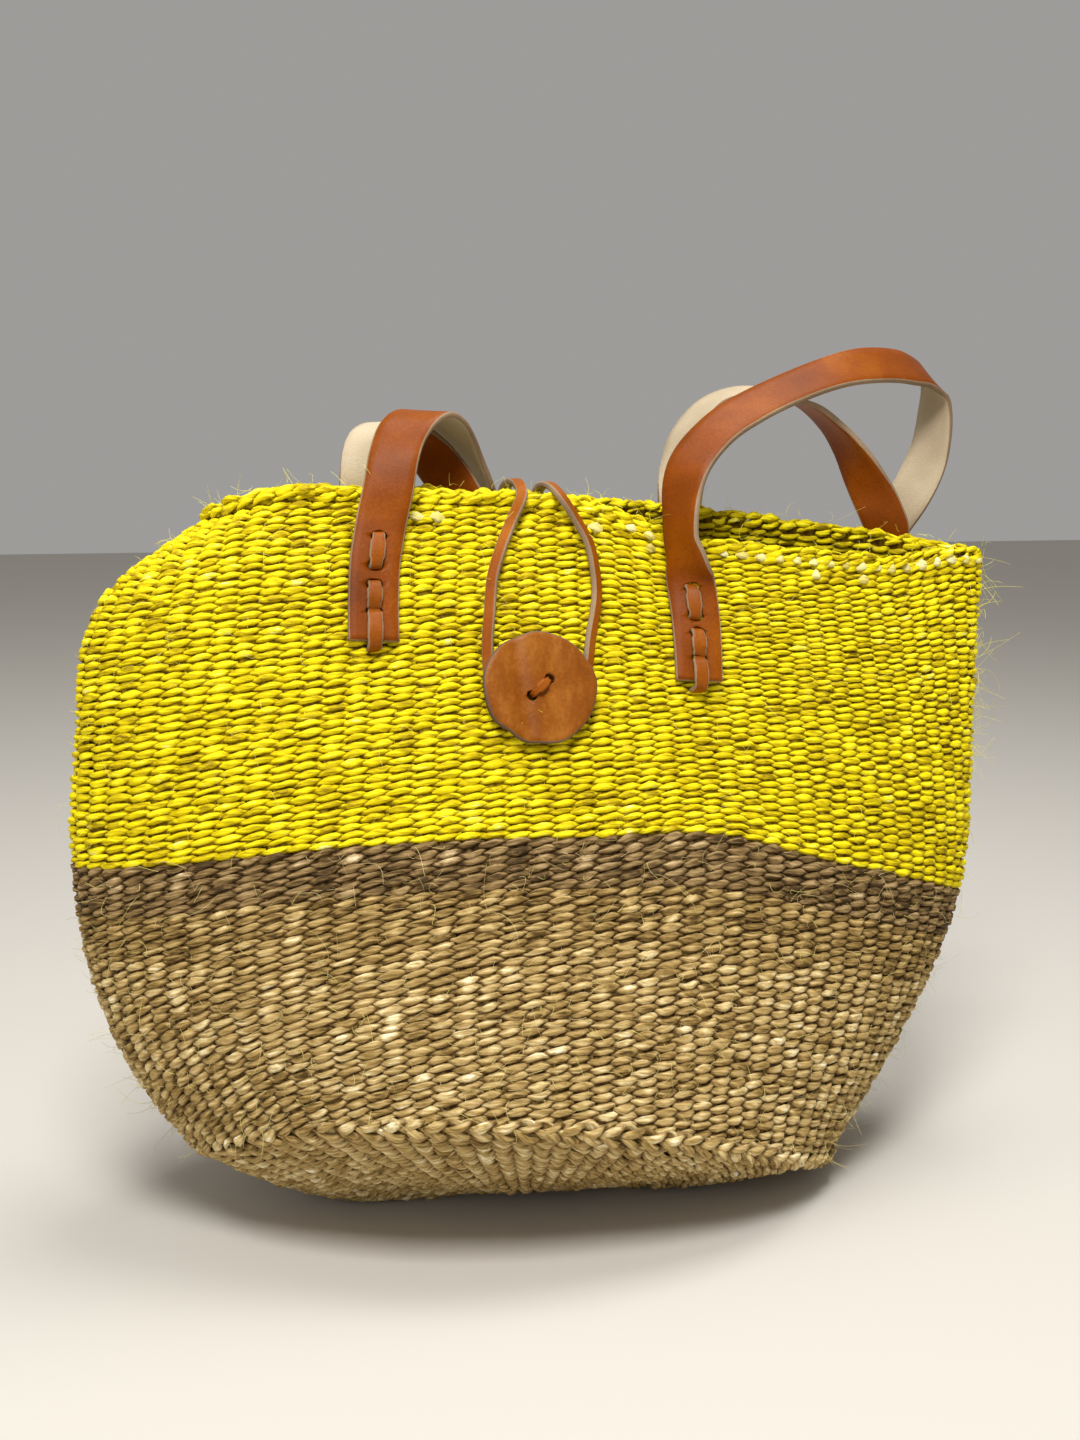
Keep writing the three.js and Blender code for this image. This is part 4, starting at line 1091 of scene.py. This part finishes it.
# Places on the wall are x and height, and places over the rim x, y, height and lean.
thong = {
    "width": 0.0045,
    "thickness": 0.0025,
    "rounding": 0.0004,
    "gap": 0.0003,
    "lift": 0.0012,
    "roll": math.radians(32),
    "over_left": [
        [-0.0425, 0.0345, 1.0075, 1], [-0.0425, 0.0315, 1.0115, 0.7],
        [-0.0425, 0.0175, 1.0205, 0.2], [-0.0425, -0.0125, 1.0205, -0.1],
        [-0.0448, -0.0335, 1.005, -1.2],
    ],
    "left": [
        [-0.0585, 0.965], [-0.0728, 0.93], [-0.0848, 0.893],
        [-0.0922, 0.848], [-0.0985, 0.8], [-0.0985, 0.752],
    ],
    "bottom": [[-0.09, 0.714], [-0.07, 0.695], [-0.035, 0.695], [-0.013, 0.716]],
    "right": [
        [0.0135, 0.965], [0.023, 0.935], [0.0255, 0.9],
        [0.0235, 0.862], [0.0125, 0.812], [0.002, 0.76],
    ],
    "over_right": [
        [-0.006, 0.0345, 1.0035, 1], [-0.006, 0.0315, 1.0075, 0.7],
        [-0.006, 0.0175, 1.0165, 0.2], [-0.0055, -0.0125, 1.016, -0.1],
        [-0.001, -0.0345, 1, -1.2],
    ],
    "anchor_left": [[-0.0425, 0.0345, 1.0075, 1], [-0.0355, 0.965], [-0.03, 0.925]],
    "anchor_right": [[-0.006, 0.0345, 1.0035, 1], [-0.0135, 0.965], [-0.018, 0.925]],
    "hole": [-0.024, 0.89],
    "root_start": (0, 0.0145, 0.298),
    "root_end": (0, 0.0085, 0.298),
}


def rimPlaces(shares):
    places = []
    for x, y, z, lean in shares:
        centre = np.array([x * mouthWidth, y * mouthWidth, z * bagHeight])
        places.append((centre, unit(np.array([0, lean, 1.0]))))
    return places


def thongPlaces(shares, side, lift=0.0):
    # On the wall, lifted by less and less from the fourth place on, where the button is near.
    places = []
    for k, (x, height) in enumerate(shares):
        point, right, up, out = wallShare(x, height, side)
        rise = lift * (1 - max(k - 3, 0) / 2)
        places.append((point + out * (thong["gap"] + thong["thickness"] / 2 + rise), out))
    return places


def thongMesh(name, places, roll):
    at = np.linspace(0, len(places) - 1, len(places) * 7)
    centres = curvePoints([place for place, out in places], at)
    outs = curvePoints([out for place, out in places], at)
    along = directionsOf(centres)
    across = turned(unit(np.cross(outs, along)), along, np.ones(len(at)) * roll(at / at[-1]))
    piece = bandMesh(name, centres, across, thong, 1)
    dressLeather(piece, hides["lace"])
    return piece


def loopPieces():
    lift = thong["lift"]
    places = rimPlaces(thong["over_left"]) + thongPlaces(thong["left"], -1, lift)
    places += thongPlaces(thong["bottom"], -1)
    places += thongPlaces(thong["right"], -1, lift)[::-1] + rimPlaces(thong["over_right"])[::-1]

    def roll(share):
        return thong["roll"] * easeBetween(0.08, 0.2, share) * easeBetween(0.92, 0.8, share)

    loop = thongMesh("loop_thong", places, roll)
    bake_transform(loop)
    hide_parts("closure_loop")
    point, right, up, out = wallShare(*thong["hole"], 1)
    for corner, sign in (("left", -1), ("right", 1)):
        shares = thong[f"anchor_{corner}"]
        offset = right * sign * (thong["width"] + thong["gap"]) / 2
        row = rimPlaces(shares[:1]) + thongPlaces(shares[1:], 1)
        row += [(point + out * 0.0015 + offset, out), (point - out * 0.003 + offset, up)]
        leg = thongMesh(f"loop_root_{corner}", row, lambda share: 0.0)
        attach(leg, "bag")
        if sign < 0:
            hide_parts("loop_anchor")


button = {
    "place": (-0.051, 0.746),
    "radius": 0.0235,
    "thickness": 0.003,
    "rounding": 0.0004,
    "lift": 0.0046,
    "slant": math.radians(42),
    "span": 0.0105,
    "slot": (0.0040, 0.0044, 0.02),
    "stitch": {"width": 0.0038, "thickness": 0.0017, "rounding": 0.0006},
    "stitchBend": 0.0022,
    "route": (
        (-0.3, -0.0028, 0.8), (-0.8, -0.0028, 0.7), (-0.85, 0.0022, 0.7), (0, 0.0034, 1.05),
        (0.85, 0.0022, 0.7), (0.8, -0.0028, 0.7), (0.3, -0.0028, 0.8),
    ),
}


def buttonHeight(x, y):
    # Gentle bend of the disc with one crease left of its middle, in metres.
    crease = x + 0.0075 + y * 0.1
    bend = -0.0004 * easeBetween(0.0, 0.016, -crease)
    valley = -0.0013 * np.exp(-offSquared(crease, (-0.0008, 0.0036)))
    dish = -0.0007 * easeBetween(0.002, 0.02, crease) + 0.0006 * easeBetween(0.012, 0.024, crease)
    return bend + valley + dish


def buttonDisc(centre, right, up, out):
    turns = evenShares(80) * 2 * np.pi
    wobble = 1 + 0.016 * np.sin(2 * turns + 0.5) + 0.01 * np.sin(5 * turns + 1)
    wobble += 0.008 * np.sin(9 * turns) - 0.035 * np.exp(-offSquared(turns, (4.05, 0.16)))
    half, round = button["thickness"] / 2, button["rounding"]
    profile = [(r, half, 0) for r in np.linspace(0.04, 0.975, 13)]
    profile += [(0.995, half - round, 2), (1.0, 0, 2), (0.99, -half + round, 2)]
    profile += [(r, -half, 1) for r in np.linspace(0.97, 0.04, 6)]
    points = []
    for share, depth, kind in profile:
        x = np.cos(turns) * share * button["radius"] * wobble
        y = np.sin(turns) * share * button["radius"] * wobble * 0.985
        h = depth + buttonHeight(x, y)
        points.append(centre + np.outer(x, right) + np.outer(y, up) + np.outer(h, out))
    points = np.concatenate(points)
    kinds = np.array([kind for share, depth, kind in profile])
    kinds = np.repeat(np.maximum(kinds[:-1], kinds[1:]), len(turns))
    faces = [tuple(quad) for quad in ringQuads(len(profile), len(turns))]
    faces += [tuple(range(len(turns))), tuple(range(len(points) - len(turns), len(points)))]
    return solidMesh("button", points, faces, [*kinds, 0, 1])


def buttonPieces():
    point, right, up, out = wallShare(*button["place"], -1)
    centre = point + out * button["lift"]
    disc = buttonDisc(centre, right, up, out)
    across = right * math.cos(button["slant"]) + up * math.sin(button["slant"])
    reach = button["span"] / 2
    holes = [(centre + across * sign * reach, across, out) for sign in (-1, 1)]
    cutSlots(disc, holes, button["slot"])
    dressLeather(disc, hides["button"], "rind")
    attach(disc, "button")
    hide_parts("button_disc")
    side = np.cross(out, across)
    corners = [(centre + across * x * reach + out * depth, side, width)
               for x, depth, width in button["route"]]
    line, acrosses, widths = roundedLine(corners, button["stitchBend"])
    lace = bandMesh("button_stitch", line, acrosses, button["stitch"], 1, widths)
    dressLeather(lace, hides["lace"], "lace")
    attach(lace, "button")
    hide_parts("button_lace")


def fibreMaterial():
    shader = Shader("loose_fibre")
    stops = stopsOf((0.0, 0.5, 1.0), "cdb988 e6da70 eee13c")
    return shader.set(
        Base_Color=shader.ramp(shader.attribute("tone", "Fac"), stops),
        Roughness=0.6,
    )


def fibrePiece(name, roots, outs, count, lengths, tones, reach):
    strands = Strands(3)
    steps = 7
    t = np.linspace(0, 1, steps)[:, None]
    taper = np.linspace(1, 0.6, steps)
    for k in chance.integers(0, len(roots), count):
        length = chance.uniform(*lengths)
        sideways = unit(chance.normal(0, 1, 3))
        start = unit(outs[k] * reach + sideways * 0.8)
        bend = unit(chance.normal(0, 1, 3)) * length * chance.uniform(0.2, 0.9)
        wave = chance.normal(0, 1, 3) * length * 0.15 * np.sin(np.pi * t)
        line = roots[k] + start * length * t + bend * t**2 + wave
        along = unit(np.gradient(line, axis=0))
        across = unit(np.cross(along, [0.31, 0.22, 0.92]))
        size = chance.uniform(0.00006, 0.00011) * taper
        tone = chance.uniform(*tones)
        strands.add(line, size, size, across, np.cross(across, along), tone, t[:, 0], 1.0)
    return strands.build(name)


def fibrePieces():
    levels = np.linspace(0.02, 0.97, 60)
    shares = evenShares(240)
    grids = [wallFrames(v, shares) for v in levels]
    roots = np.array([grid[0] for grid in grids])
    outs = np.array([grid[3] for grid in grids])
    brown = levels < weave["bandTop"]
    end = (roots[..., 0] > 0.197) & (levels > 0.62)[:, None]
    rimRoots, _, _, rimOuts = wallFrames(0.985, shares)
    rimRoots = rimRoots + np.array([0, 0, 0.005])
    rimOuts = unit(rimOuts + np.array([0, 0, 0.8]))
    # After the roots and their directions: how many, lengths, tones and how far they stand out.
    kinds = (
        ("brown_fibres", roots[brown], outs[brown], 1500, (0.003, 0.012), (0.0, 0.45), 0.55),
        ("yellow_fibres", roots[~brown], outs[~brown], 800, (0.003, 0.01), (0.4, 1.0), 0.45),
        ("rim_fibres", rimRoots, rimOuts, 120, (0.003, 0.009), (0.5, 1.0), 0.6),
        ("end_fibres", roots[end], outs[end], 150, (0.005, 0.016), (0.5, 1.0), 0.5),
    )
    material = fibreMaterial()
    for name, places, directions, *settings in kinds:
        piece = fibrePiece(name, places.reshape(-1, 3), directions.reshape(-1, 3), *settings)
        slotName = "straw_weave" if name == "brown_fibres" else "yellow_weave"
        dress(piece, material)


for name, handle in handles.items():
    for corner in ("left", "right"):
        strapHalf(name, handle, corner)
        strapLace(name, handle, corner)
print("handles laced")
loopPieces()
buttonPieces()
print("loop and button made")
base = basePieces()
for thing in base.values():
    dress(thing, yarns["tan"])
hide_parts("base_disc")
# The sheet inside the base is painted all in shade.
dress(baseFloor(), yarns["dark"])
ridge = ridgePiece()
dress(ridge, yarns["tan"])
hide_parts("base_ridge")
rim = rimPiece()
dress(rim, yarns["yellow"])
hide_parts("rim_braid")
endStops = stopsOf((0.0, 0.3, 0.6, 1.0), "a08a30 ccbc58 e0d68a f0ebc0")
dress(warpEnds(), yarnMaterial("warp_end_yarn", endStops, 0.75, 0.9))
fibrePieces()
print("fibres added")


def cameraPart():
    camera = bpy.data.cameras.new("camera")
    camera.sensor_fit = "VERTICAL"
    camera.sensor_height = 36
    camera.lens = 45
    camera.clip_start = 0.05
    thing = addObject("camera", camera)
    yaw, pitch, roll = math.radians(19.03), math.radians(9.18), math.radians(0.5)
    right = Vector((math.cos(yaw), -math.sin(yaw), 0))
    level = Vector((math.sin(yaw), math.cos(yaw), 0))
    ahead = level * math.cos(pitch) - Vector((0, 0, math.sin(pitch)))
    up = level * math.sin(pitch) + Vector((0, 0, math.cos(pitch)))
    rolledRight = right * math.cos(roll) + up * math.sin(roll)
    rolledUp = up * math.cos(roll) - right * math.sin(roll)
    turn = Matrix((rolledRight, rolledUp, -ahead)).transposed()
    thing.matrix_world = Matrix.Translation((-0.25, -0.711, 0.322)) @ turn.to_4x4()
    bpy.context.scene.camera = thing


def studio():
    bpy.ops.mesh.primitive_plane_add(size=8, location=(0, 0, 0))
    floor = bpy.context.object
    floor.name = "floor"
    shader = Shader("floor")
    floor.data.materials.append(shader.set(Base_Color=colour("c6c1b8"), Roughness=0.85))
    world = bpy.data.worlds.new("studio")
    bpy.context.scene.world = world
    world.use_nodes = True
    background = world.node_tree.nodes["Background"]
    background.inputs[0].default_value = (1.0, 0.98, 0.95, 1)
    background.inputs[1].default_value = 0.34
    lights = [
        ("key", (-0.35, -0.85, 1.45), 0.5, 25),
        ("top", (0.25, 0.1, 1.6), 0.8, 15),
        ("fill", (-1.3, -1.1, 0.6), 1.0, 4),
    ]
    for name, place, size, power in lights:
        light = bpy.data.lights.new(name, "AREA")
        light.size = size
        light.energy = power
        thing = addObject(name, light)
        thing.location = place
        toBag = Vector((0, 0, 0.12)) - Vector(place)
        thing.rotation_euler = toBag.to_track_quat("-Z", "Y").to_euler()
    bpy.context.scene.view_settings.view_transform = "Standard"


cameraPart()
studio()
